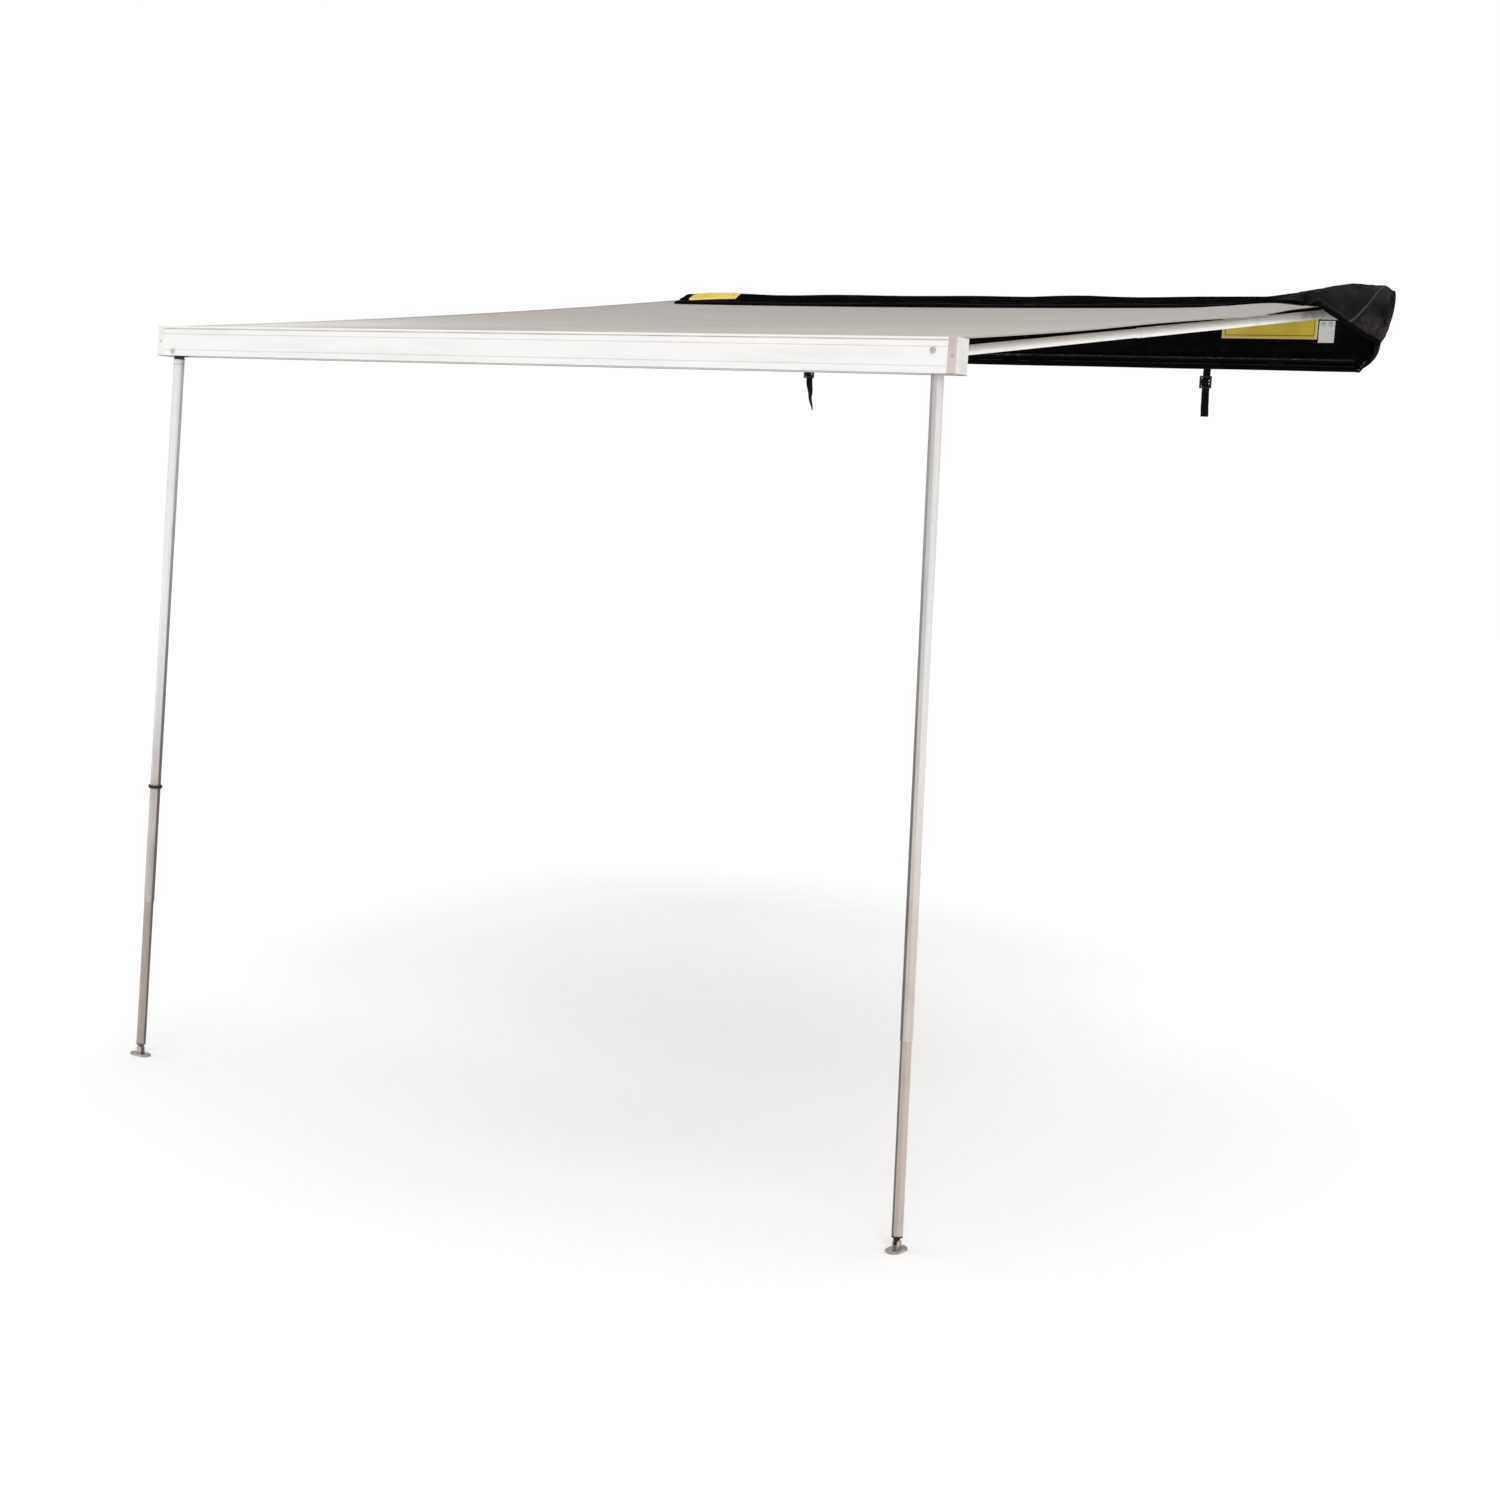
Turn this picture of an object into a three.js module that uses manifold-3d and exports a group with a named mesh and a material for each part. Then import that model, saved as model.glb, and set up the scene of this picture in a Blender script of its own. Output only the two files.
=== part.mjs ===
// Vehicle side awning, pulled out, with its bag open and both legs down.
// Millimetres, +X along the beam, +Y towards the vehicle, +Z up.
// The origin is the middle of the rail's rear face, where the roof rack holds it.
import * as THREE from "three";
import { mergeVertices } from "three/addons/utils/BufferGeometryUtils.js";
import Module from "manifold-3d";

const wasm = await Module();
wasm.setup();

// Whole awning
const awningWidth = 2500;
const projection = 2500;
const standingHeight = 2040;
const canopySlope = THREE.MathUtils.degToRad(7.9);
const legSplay = THREE.MathUtils.degToRad(1.5);

// Clearances
const fitGap = 0.3;
const runGap = 1;
const overrun = 4;

// Rail on the roof rack
const railHeight = 92;
const railDepth = 18;
const railWall = 2.5;
const slotSpacing = 48;
const slotMouth = 9;
const slotWidth = 17;
const slotDepth = 8;
const flapGrooveDrop = 26;
const canopyGrooveDrop = 10;
const hoodGrooveInset = 5;

// Keder ropes and the grooves that hold them
const kederRadius = 2.7;
const kederWeb = 1.2;
const grooveClearance = 0.5;
const grooveMouth = 2.8;
const grooveCover = 4.5;

// Front beam
const beamHeight = 80;
const beamDepth = 50;
const beamWall = 2;
const beamGrooveInset = 43;
const beamBossDepth = 14;
const beamBossHeight = 10;
const faceGrooveDrops = [5, 21, 63];
const faceGrooveWidth = 2;
const faceGrooveDepth = 0.7;

// Beam end caps
const capSkirt = 23;
const capSpigot = 12;
const capRivetRadius = 3;
const capRivetHeight = 1.2;
const capRivetDrop = 40;

// Leg pivots in the beam
const legInset = 60;
const rightLegDrop = 29;
const leftLegDrop = 67;
const boltRadius = 4;
const boltHeadRadius = 6.5;
const boltHeadHeight = 4;
const nutRadius = 7.5;
const nutHeight = 6.5;

// Leg tubes
const legRadius = 14.5;
const legWall = 1.2;
const legOuterEnd = 1530;
const legOverlap = 300;
const barrelRadius = 14;
const legTubeStart = 16;
const plugLength = 42;
const ringDistance = 1200;
const ringHeight = 8;
const ringThickness = 4;
const camHeight = 20;
const camSpindleRadius = 5;
const camSpindleLength = 30;

// Feet
const ankleHeight = 20;
const anklePinRadius = 3.5;
const ankleTongue = 9;
const ankleNeck = 16;
const ankleCollar = 4;
const padLength = 67;
const padWidth = 36;
const padThickness = 6;
const padBevel = 1;
const earThickness = 3;
const earRadius = 8;

// Rafter arms
const armInset = 90;
const rightArmDrop = 33;
const leftArmDrop = 62;
const armPinReach = 38;
const armRadius = 13;
const armWall = 1.2;
const armTubeStart = 26;
const armOuterEnd = 1378;
const armOverlap = 340;
const armTongue = 14;
const tongueRadius = 10;
const armPlugLength = 40;

// Arm brackets on the rail
const bracketWidth = 60;
const bracketHeight = 26;
const bracketPlate = 3;
const bracketEar = 2.5;
const bracketEarRadius = 12;
const screwSpacing = 44;
const screwRadius = 2.5;
const screwHeadRadius = 4.5;
const screwHeadHeight = 2.5;
const screwLength = 6;
const pinRadius = 4;
const pinHeadRadius = 6;
const pinHeadHeight = 2;

// Saddles on the beam and the hooks that drop into them
const saddleWidth = 26;
const saddlePlateWidth = 40;
const saddlePlateHeight = 24;
const saddlePlate = 3;
const saddleHeight = 10;
const saddleReach = 28;
const pegRadius = 4;
const pegClearance = 0.6;
const pegReach = 16;
const hookWidth = 16;
const hookThickness = 6;
const hookLead = 10;
const hookCollar = 4;

// Canopy
const canopyInset = 5;
const canopyThickness = 1.5;
const edgeSag = 10;
const middleSag = 30;

// Bag, open, with its hood lying on the canopy and its flap hanging
const bagThickness = 2.5;
const bagOverhang = 85;
const hoodReach = 320;
const hoodFlare = 100;
const hoodFlareLength = 200;
const hoodRightReach = 100;
const hoodLeftReach = 70;
const hoodLeftTurn = 180;
const hoodCrown = 2;
const hoodRise = 60;
const hoodRiseStart = 400;
const hoodRiseLength = 540;
const hoodCornerDrop = 120;
const hoodCornerShare = 0.22;
const lipGap = 18;
const lipGapInset = 160;
const lipGapReach = 250;
const flapBottomDrop = 220;
const flapRightInset = 90;
const flapLeftNotch = 190;
const flapLeftNotchDrop = 100;
const flapRightNotch = 135;
const flapRightNotchDrop = 64;
const flapLean = 10;
const flapRipple = 5;
const flapRippleLength = 520;

// Trim on the flap
const labelThickness = 1.2;
const labelInset = 140;
const labelLength = 310;
const labelTopDrop = 45;
const labelHeight = 78;
const tagGap = 4;
const tagWidth = 50;
const tagHeight = 66;
const tagTopDrop = 67;
const zipHeight = 12;
const zipThickness = 1.4;
const zipRise = 32;

// Bag straps
const rightStrapShare = 0.306;
const leftStrapShare = -0.282;
const webbingWidth = 25;
const webbingThickness = 1.6;
const rightStrapLength = 148;
const leftStrapLength = 176;
const buckleWidth = 38;
const buckleHeight = 38;
const buckleThickness = 7;
const buckleBar = 5;
const buckleDrop = 22;

// How sharply the hood's curves bend, as powers of the share of the way along them
const hoodReachPowerShare = 1.4;
const hoodDropPowerShare = 1.4;
const hoodFallPowerShare = 1.6;
const hoodCrownPowerShare = 0.6;

// Places worked out from the sizes above
const railTop = railHeight / 2;
const canopyLine = railTop - canopyGrooveDrop;
const beamFront = -projection;
const beamRear = beamFront + beamDepth;
const slopeRise = Math.tan(canopySlope);
const beamTop = canopyLine - (-railDepth - beamRear) * slopeRise;
const ground = beamTop - standingHeight;
const legBore = legRadius - legWall;
const legInnerRadius = legBore - fitGap;
const legInnerBore = legInnerRadius - legWall;
const armBore = armRadius - armWall;
const armInnerRadius = armBore - fitGap;
const armInnerBore = armInnerRadius - armWall;
const armEnd = (-armPinReach - beamRear) / Math.cos(canopySlope);
const flapBottom = railTop - flapBottomDrop;
const bagLeft = awningWidth / 2;
const bagRight = awningWidth / 2 + bagOverhang;
const labelRight = awningWidth / 2 - labelInset;
const labelLeft = labelRight - labelLength;
const armPlace = awningWidth / 2 - armInset;

function pinHeightAt(drop) {
  return canopyLine - (armPinReach - railDepth) * slopeRise - drop;
}

const group = new THREE.Group();

const finishes = {
  white_paint: { color: 0xf1f1ee, roughness: 0.35, metalness: 0.1 },
  raw_aluminium: { color: 0xbfc0bd, roughness: 0.4, metalness: 0.9 },
  cap_plastic: { color: 0xd9d3c6, roughness: 0.55, metalness: 0 },
  black_plastic: { color: 0x17171a, roughness: 0.5, metalness: 0 },
  zinc_steel: { color: 0x8f8f8c, roughness: 0.35, metalness: 0.9 },
  canopy_cloth: { color: 0xb9b3a8, roughness: 0.9, metalness: 0 },
  bag_vinyl: { color: 0x141416, roughness: 0.45, metalness: 0 },
  keder_rope: { color: 0x6b665e, roughness: 0.8, metalness: 0 },
  label_yellow: { color: 0xc9a915, roughness: 0.6, metalness: 0 },
  tag_white: { color: 0xdedfdc, roughness: 0.5, metalness: 0 },
  webbing_black: { color: 0x111113, roughness: 0.85, metalness: 0 },
  rubber_black: { color: 0x1b1b1b, roughness: 0.8, metalness: 0 },
};

function addPiece(name, geometry, finish, parent = group) {
  const mesh = new THREE.Mesh(geometry, new THREE.MeshStandardMaterial(finishes[finish]));
  mesh.name = name;
  parent.add(mesh);
  return mesh;
}

// Booleans

function toSolid(geometry) {
  const bare = geometry.clone();
  bare.deleteAttribute("normal");
  bare.deleteAttribute("uv");
  const merged = mergeVertices(bare);
  const vertProperties = new Float32Array(merged.attributes.position.array);
  const triVerts = new Uint32Array(merged.index.array);
  return new wasm.Manifold(new wasm.Mesh({ numProp: 3, vertProperties, triVerts }));
}

function toGeometry(solid) {
  const mesh = solid.getMesh();
  const geometry = new THREE.BufferGeometry();
  geometry.setAttribute("position", new THREE.BufferAttribute(mesh.vertProperties, 3));
  geometry.setIndex(new THREE.BufferAttribute(mesh.triVerts, 1));
  return geometry;
}

function join(first, ...others) {
  const whole = others.reduce((sum, next) => sum.add(toSolid(next)), toSolid(first));
  return toGeometry(whole);
}

function cut(first, ...tools) {
  const rest = tools.reduce((sum, next) => sum.subtract(toSolid(next)), toSolid(first));
  return toGeometry(rest);
}

// Plain shapes

function block(low, high) {
  const size = high.map((value, axis) => value - low[axis]);
  const middle = high.map((value, axis) => (value + low[axis]) / 2);
  return new THREE.BoxGeometry(...size).translate(...middle);
}

function rod(axis, radius, from, to, sides = 24) {
  const geometry = new THREE.CylinderGeometry(radius, radius, to - from, sides);
  geometry.translate(0, (from + to) / 2, 0);
  if (axis === "x") geometry.rotateZ(-Math.PI / 2);
  if (axis === "z") geometry.rotateX(Math.PI / 2);
  return geometry;
}

// A hollow tube along -Z, from one distance down to the next
function pipe(outer, bore, from, to, sides = 28) {
  const profile = [
    new THREE.Vector2(bore, -to),
    new THREE.Vector2(outer, -to),
    new THREE.Vector2(outer, -from),
    new THREE.Vector2(bore, -from),
    new THREE.Vector2(bore, -to),
  ];
  return new THREE.LatheGeometry(profile, sides).rotateX(Math.PI / 2);
}

// A section in the YZ plane, drawn along X
function alongX(outline, left, right, holes = []) {
  const shape = new THREE.Shape(outline);
  shape.holes = holes.map((hole) => new THREE.Path(hole));
  const geometry = new THREE.ExtrudeGeometry(shape, { depth: right - left, bevelEnabled: false });
  const turned = new THREE.Matrix4().makeBasis(
    new THREE.Vector3(0, 1, 0),
    new THREE.Vector3(0, 0, 1),
    new THREE.Vector3(1, 0, 0),
  );
  return geometry.applyMatrix4(turned).translate(left, 0, 0);
}

function arcPoints(centre, radius, from, to, steps) {
  const points = [];
  for (let i = 0; i <= steps; i++) {
    const angle = from + ((to - from) * i) / steps;
    points.push(new THREE.Vector2(
      centre.x + radius * Math.cos(angle),
      centre.y + radius * Math.sin(angle),
    ));
  }
  return points;
}

// A closed sheet whose middle follows place(u, v), with its thickness along side(u, v)
function sheet(across, down, thickness, place, side) {
  const positions = [];
  for (const half of [-thickness / 2, thickness / 2]) {
    for (let i = 0; i <= across; i++) {
      for (let j = 0; j <= down; j++) {
        const u = i / across;
        const v = j / down;
        const point = place(u, v).addScaledVector(side(u, v), half);
        positions.push(point.x, point.y, point.z);
      }
    }
  }
  const columns = down + 1;
  const layer = (across + 1) * columns;
  const index = [];
  const quad = (a, b, c, d) => index.push(a, b, c, a, c, d);
  for (let i = 0; i < across; i++) {
    for (let j = 0; j < down; j++) {
      const a = i * columns + j;
      quad(a, a + 1, a + columns + 1, a + columns);
      quad(layer + a, layer + a + columns, layer + a + columns + 1, layer + a + 1);
    }
  }
  for (let i = 0; i < across; i++) {
    const first = i * columns;
    const last = first + down;
    quad(first, first + columns, layer + first + columns, layer + first);
    quad(last + columns, last, layer + last, layer + last + columns);
  }
  for (let j = 0; j < down; j++) {
    const first = j;
    const last = across * columns + j;
    quad(first + 1, first, layer + first, layer + first + 1);
    quad(last, last + 1, layer + last + 1, layer + last);
  }
  const geometry = new THREE.BufferGeometry();
  geometry.setAttribute("position", new THREE.Float32BufferAttribute(positions, 3));
  geometry.setIndex(index);
  if (toSolid(geometry).volume() > 0) return geometry;
  for (let i = 0; i < index.length; i += 3) {
    [index[i + 1], index[i + 2]] = [index[i + 2], index[i + 1]];
  }
  geometry.setIndex(index);
  return geometry;
}

// Grooves and the ropes in them, drawn with the mouth at the origin, facing turn

const grooveRadius = kederRadius + grooveClearance;
const mouthAngle = Math.asin(grooveMouth / 2 / grooveRadius);

function groovePoints(mouth, turn) {
  const centre = new THREE.Vector2(0, -grooveCover);
  const start = Math.PI / 2 - mouthAngle;
  const end = -3 * Math.PI / 2 + mouthAngle;
  const points = [
    new THREE.Vector2(grooveMouth / 2, 0),
    ...arcPoints(centre, grooveRadius, start, end, 10),
    new THREE.Vector2(-grooveMouth / 2, 0),
  ];
  return points.map((point) => point.rotateAround(new THREE.Vector2(), turn).add(mouth));
}

function kederPoints(mouth, turn) {
  const centre = new THREE.Vector2(0, -grooveCover);
  const webAngle = Math.asin(kederWeb / 2 / kederRadius);
  const start = Math.PI / 2 - webAngle;
  const end = -3 * Math.PI / 2 + webAngle;
  const points = [
    new THREE.Vector2(kederWeb / 2, 0),
    ...arcPoints(centre, kederRadius, start, end, 10),
    new THREE.Vector2(-kederWeb / 2, 0),
  ];
  return points.map((point) => point.rotateAround(new THREE.Vector2(), turn).add(mouth));
}

// Rail

const canopyGroove = new THREE.Vector2(-railDepth, canopyLine);
const flapGroove = new THREE.Vector2(-railDepth, railTop - flapGrooveDrop);
const hoodGroove = new THREE.Vector2(-hoodGrooveInset, railTop);

function railSlot(middle) {
  return [
    new THREE.Vector2(0, middle - slotMouth / 2),
    new THREE.Vector2(-railWall, middle - slotMouth / 2),
    new THREE.Vector2(-railWall, middle - slotWidth / 2),
    new THREE.Vector2(-slotDepth, middle - slotWidth / 2),
    new THREE.Vector2(-slotDepth, middle + slotWidth / 2),
    new THREE.Vector2(-railWall, middle + slotWidth / 2),
    new THREE.Vector2(-railWall, middle + slotMouth / 2),
    new THREE.Vector2(0, middle + slotMouth / 2),
  ];
}

function bracketScrewHoles() {
  const places = [[armPlace, pinHeightAt(rightArmDrop)], [-armPlace, pinHeightAt(leftArmDrop)]];
  return places.flatMap(([x, z]) => [-screwSpacing / 2, screwSpacing / 2].map((offset) => (
    rod("y", screwRadius + fitGap, -railDepth - overrun, -railDepth + screwLength + runGap, 12)
      .translate(x + offset, 0, z)
  )));
}

function buildRail() {
  const frontFacing = Math.PI / 2;
  const outline = [
    new THREE.Vector2(0, -railTop),
    ...railSlot(-slotSpacing / 2),
    ...railSlot(slotSpacing / 2),
    new THREE.Vector2(0, railTop),
    ...groovePoints(hoodGroove, 0),
    new THREE.Vector2(-railDepth, railTop),
    ...groovePoints(canopyGroove, frontFacing),
    ...groovePoints(flapGroove, frontFacing),
    new THREE.Vector2(-railDepth, -railTop),
  ];
  const chamberTop = slotSpacing / 2 - slotWidth / 2 - railWall;
  const chamber = [
    new THREE.Vector2(-railWall, -chamberTop),
    new THREE.Vector2(-railWall, chamberTop),
    new THREE.Vector2(-railDepth + railWall, chamberTop),
    new THREE.Vector2(-railDepth + railWall, -chamberTop),
  ];
  const half = awningWidth / 2;
  const profile = alongX(outline, -half, half, [chamber]);
  addPiece("mounting_rail", cut(profile, ...bracketScrewHoles()), "raw_aluminium");
  const inset = half - canopyInset;
  addPiece("canopy_rear_keder", alongX(kederPoints(canopyGroove, frontFacing), -inset, inset), "keder_rope");
  addPiece("hood_keder", alongX(kederPoints(hoodGroove, 0), -inset, inset), "keder_rope");
  const kederLeft = -half + flapLeftNotch;
  const kederRight = half - flapRightNotch;
  addPiece("flap_keder", alongX(kederPoints(flapGroove, frontFacing), kederLeft, kederRight), "keder_rope");
}

// Front beam

function buildBeam() {
  const boss = beamDepth - beamBossDepth;
  const groove = new THREE.Vector2(beamGrooveInset, 0);
  const face = faceGrooveDrops.flatMap((drop) => [
    new THREE.Vector2(0, -drop + faceGrooveWidth / 2),
    new THREE.Vector2(faceGrooveDepth, -drop),
    new THREE.Vector2(0, -drop - faceGrooveWidth / 2),
  ]);
  const outline = [
    new THREE.Vector2(0, -beamHeight),
    new THREE.Vector2(beamWall, -beamHeight),
    new THREE.Vector2(beamWall, -beamWall),
    new THREE.Vector2(boss, -beamWall),
    new THREE.Vector2(boss, -beamBossHeight),
    new THREE.Vector2(beamDepth - beamWall, -beamBossHeight),
    new THREE.Vector2(beamDepth - beamWall, -beamHeight),
    new THREE.Vector2(beamDepth, -beamHeight),
    new THREE.Vector2(beamDepth, 0),
    ...groovePoints(groove, 0),
    new THREE.Vector2(0, 0),
    ...face,
  ];
  const half = awningWidth / 2 - capSkirt - fitGap;
  const boltHole = (place, drop) => rod("y", boltRadius + fitGap, -overrun, beamDepth + overrun)
    .translate(place, 0, -drop);
  const profile = alongX(outline, -half, half);
  const legPlace = awningWidth / 2 - legInset;
  const drilled = cut(profile, boltHole(legPlace, rightLegDrop), boltHole(-legPlace, leftLegDrop));
  const beamGroup = new THREE.Group();
  beamGroup.position.set(0, beamFront, beamTop);
  group.add(beamGroup);
  addPiece("front_beam", drilled, "white_paint", beamGroup);
  const inset = awningWidth / 2 - capSkirt - canopyInset;
  addPiece("canopy_front_keder", alongX(kederPoints(groove, 0), -inset, inset), "keder_rope", beamGroup);
  for (const [name, side] of [["right", 1], ["left", -1]]) {
    buildEndCap(name, side, beamGroup);
  }
  buildPivotBolt("right", legPlace, rightLegDrop, beamGroup);
  buildPivotBolt("left", -legPlace, leftLegDrop, beamGroup);
}

function buildEndCap(name, side, parent) {
  const inner = awningWidth / 2 - capSkirt;
  const outer = awningWidth / 2;
  const skirt = block([inner, 0, -beamHeight], [outer, beamDepth, 0]);
  const hollow = block(
    [inner - overrun, beamWall, -beamHeight - overrun],
    [outer - railWall, beamDepth - beamWall, -beamWall],
  );
  const rib = beamWall + fitGap;
  const spigot = block(
    [inner - capSpigot, rib, -beamHeight + rib],
    [outer - railWall / 2, rib + beamWall, -beamBossHeight - rib],
  );
  const rivetHole = rod("y", capRivetRadius / 2 + fitGap, -overrun, rib + beamWall + overrun)
    .translate(inner + capSkirt / 2, 0, -capRivetDrop);
  const cap = cut(join(cut(skirt, hollow), spigot), rivetHole);
  const rivet = join(
    rod("y", capRivetRadius, -capRivetHeight - fitGap, -fitGap),
    rod("y", capRivetRadius / 2, -capRivetHeight, rib + beamWall),
  ).translate(inner + capSkirt / 2, 0, -capRivetDrop);
  const mirror = (geometry) => (side > 0 ? geometry : mirrored(geometry));
  addPiece(`end_cap_${name}`, mirror(cap), "cap_plastic", parent);
  addPiece(`cap_rivet_${name}`, mirror(rivet), "zinc_steel", parent);
}

// The same solid on the other side of the YZ plane, with its faces turned out again
function mirrored(geometry) {
  const copy = geometry.clone().scale(-1, 1, 1);
  const index = copy.index.array;
  for (let i = 0; i < index.length; i += 3) {
    [index[i + 1], index[i + 2]] = [index[i + 2], index[i + 1]];
  }
  return copy;
}

function buildPivotBolt(name, place, drop, parent) {
  const bolt = join(
    rod("y", boltHeadRadius, -boltHeadHeight - fitGap, -fitGap, 16),
    rod("y", boltRadius, -boltHeadHeight, beamDepth + nutHeight + runGap),
  ).translate(place, 0, -drop);
  addPiece(`leg_pivot_bolt_${name}`, bolt, "zinc_steel", parent);
  const nut = cut(
    rod("y", nutRadius, beamDepth + fitGap, beamDepth + nutHeight, 6),
    rod("y", boltRadius + fitGap, beamDepth - overrun, beamDepth + nutHeight + overrun),
  ).translate(place, 0, -drop);
  addPiece(`leg_pivot_nut_${name}`, nut, "zinc_steel", parent);
}

// Legs, drawn down -Z from the pivot

function buildLeg(name, side, drop, ankleTurn, hasRing) {
  const leg = new THREE.Group();
  const pivotHeight = beamTop - drop;
  leg.position.set(side * (awningWidth / 2 - legInset), beamFront + beamDepth / 2, pivotHeight);
  leg.rotation.y = -side * legSplay;
  group.add(leg);
  const ankle = (pivotHeight - ground - ankleHeight) / Math.cos(legSplay);

  const barrelReach = beamDepth / 2 - beamWall - runGap;
  const barrel = rod("y", barrelRadius, -barrelReach, barrelReach, 32);
  const spigot = rod("z", legBore - fitGap, -legTubeStart - plugLength, 0, 32);
  const hole = rod("y", boltRadius + fitGap, -beamDepth, beamDepth);
  addPiece(`leg_top_plug_${name}`, cut(join(barrel, spigot), hole), "black_plastic", leg);
  const outer = pipe(legRadius, legBore, legTubeStart, legOuterEnd);
  addPiece(`leg_outer_tube_${name}`, outer, "raw_aluminium", leg);

  const innerStart = legOuterEnd - legOverlap;
  const innerEnd = ankle - ankleNeck;
  const inner = pipe(legInnerRadius, legInnerBore, innerStart, innerEnd);
  addPiece(`leg_inner_tube_${name}`, inner, "raw_aluminium", leg);
  addPiece(`leg_lock_cam_${name}`, lockCam(legBore, innerStart), "black_plastic", leg);
  if (hasRing) {
    const ringBore = legRadius + fitGap;
    const ring = pipe(ringBore + ringThickness, ringBore, ringDistance, ringDistance + ringHeight, 24);
    addPiece(`leg_rubber_ring_${name}`, ring, "rubber_black", leg);
  }

  const endPlug = ankleEnd(ankle, innerEnd).rotateZ(ankleTurn);
  addPiece(`leg_end_plug_${name}`, endPlug, "black_plastic", leg);

  const foot = new THREE.Group();
  foot.position.set(
    leg.position.x + side * ankle * Math.sin(legSplay),
    leg.position.y,
    pivotHeight - ankle * Math.cos(legSplay),
  );
  foot.rotation.z = ankleTurn;
  group.add(foot);
  addPiece(`foot_${name}`, footPad(), "zinc_steel", foot);
}

// The eccentric lock that sits on the inner tube's end, inside the outer tube
function lockCam(bore, tubeStart) {
  const drum = rod("z", bore - fitGap, -tubeStart + fitGap, -tubeStart + camHeight, 24);
  const spindle = rod("z", camSpindleRadius, -tubeStart - camSpindleLength, -tubeStart + camHeight / 2, 16);
  return join(drum, spindle);
}

// A plug in the inner tube whose tongue is held between the foot's ears, with the pin along Y
function ankleEnd(ankle, innerEnd) {
  const spigot = rod("z", legInnerBore - fitGap, -innerEnd - fitGap, -innerEnd + plugLength, 24);
  const collar = rod("z", legInnerRadius, -innerEnd - ankleCollar, -innerEnd - fitGap, 24);
  const neck = block(
    [-anklePinRadius * 2, -ankleTongue / 2, -ankle],
    [anklePinRadius * 2, ankleTongue / 2, -innerEnd + ankleCollar],
  );
  const eye = rod("y", anklePinRadius * 2, -ankleTongue / 2, ankleTongue / 2).translate(0, 0, -ankle);
  const hole = rod("y", anklePinRadius + fitGap, -ankleTongue, ankleTongue).translate(0, 0, -ankle);
  return cut(join(spigot, collar, neck, eye), hole);
}

// The oval pad with two ears and the pin through them, the pin along Y and the pad's length along X
function footPad() {
  const straight = padLength / 2 - padWidth / 2;
  const shape = new THREE.Shape();
  shape.absarc(straight, 0, padWidth / 2 - padBevel, -Math.PI / 2, Math.PI / 2);
  shape.absarc(-straight, 0, padWidth / 2 - padBevel, Math.PI / 2, 3 * Math.PI / 2);
  const pad = new THREE.ExtrudeGeometry(shape, {
    depth: padThickness - 2 * padBevel,
    curveSegments: 10,
    bevelSize: padBevel,
    bevelThickness: padBevel,
    bevelSegments: 1,
  }).translate(0, 0, -ankleHeight + padBevel);
  const inner = ankleTongue / 2 + fitGap;
  const outer = inner + earThickness;
  const padTop = -ankleHeight + padThickness;
  const ears = [1, -1].flatMap((side) => {
    const low = Math.min(side * inner, side * outer);
    const high = Math.max(side * inner, side * outer);
    return [
      block([-earRadius, low, padTop - padBevel], [earRadius, high, 0]),
      rod("y", earRadius, low, high),
    ];
  });
  return join(pad, ...ears, rod("y", anklePinRadius, -outer, outer));
}

// Rafter arms, drawn along -Y from the hinge pin, in the plane of the canopy

function buildArm(name, side, drop) {
  const place = side * armPlace;
  const pinHeight = pinHeightAt(drop);
  const arm = new THREE.Group();
  arm.position.set(place, -armPinReach, pinHeight);
  arm.rotation.x = canopySlope;
  group.add(arm);
  const lay = (geometry) => geometry.rotateX(-Math.PI / 2);

  const tongueEnd = -armTubeStart + fitGap;
  const tongue = block([-tongueRadius, tongueEnd, -armTongue / 2], [tongueRadius, 0, armTongue / 2]);
  const eye = rod("z", tongueRadius, -armTongue / 2, armTongue / 2);
  const spigot = rod("y", armBore - fitGap, -armTubeStart - armPlugLength, tongueEnd);
  const collar = rod("y", armRadius, -armTubeStart + fitGap, -armTubeStart + overrun);
  const hole = rod("z", pinRadius + fitGap, -armTongue, armTongue);
  addPiece(`arm_hinge_plug_${name}`, cut(join(tongue, eye, spigot, collar), hole), "black_plastic", arm);
  const outer = lay(pipe(armRadius, armBore, armTubeStart, armOuterEnd));
  addPiece(`arm_outer_tube_${name}`, outer, "raw_aluminium", arm);

  const innerStart = armOuterEnd - armOverlap;
  const innerEnd = armEnd - pegReach - saddleReach / 2 - hookCollar - runGap;
  const inner = lay(pipe(armInnerRadius, armInnerBore, innerStart, innerEnd));
  addPiece(`arm_inner_tube_${name}`, inner, "raw_aluminium", arm);
  addPiece(`arm_lock_cam_${name}`, lay(lockCam(armBore, innerStart)), "black_plastic", arm);
  addPiece(`arm_hook_${name}`, armHook(innerEnd), "black_plastic", arm);
  buildBracket(name, arm, place, pinHeight);
  buildSaddle(name, arm, place);
}

// The peg that drops into the saddle
function armHook(innerEnd) {
  const peg = armEnd - pegReach;
  const tongueBottom = pegClearance;
  const spigot = rod("y", armInnerBore - fitGap, -innerEnd - fitGap, -innerEnd + armPlugLength);
  const collar = rod("y", armInnerRadius, -innerEnd - hookCollar, -innerEnd - fitGap);
  const tongue = block(
    [-hookWidth / 2, -peg - hookLead / 2, tongueBottom],
    [hookWidth / 2, -innerEnd - fitGap, tongueBottom + hookThickness],
  );
  const pegRod = rod("z", pegRadius, -saddleHeight + pegClearance, tongueBottom + hookThickness / 2);
  return join(spigot, collar, tongue, pegRod.translate(0, -peg, 0));
}

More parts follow.
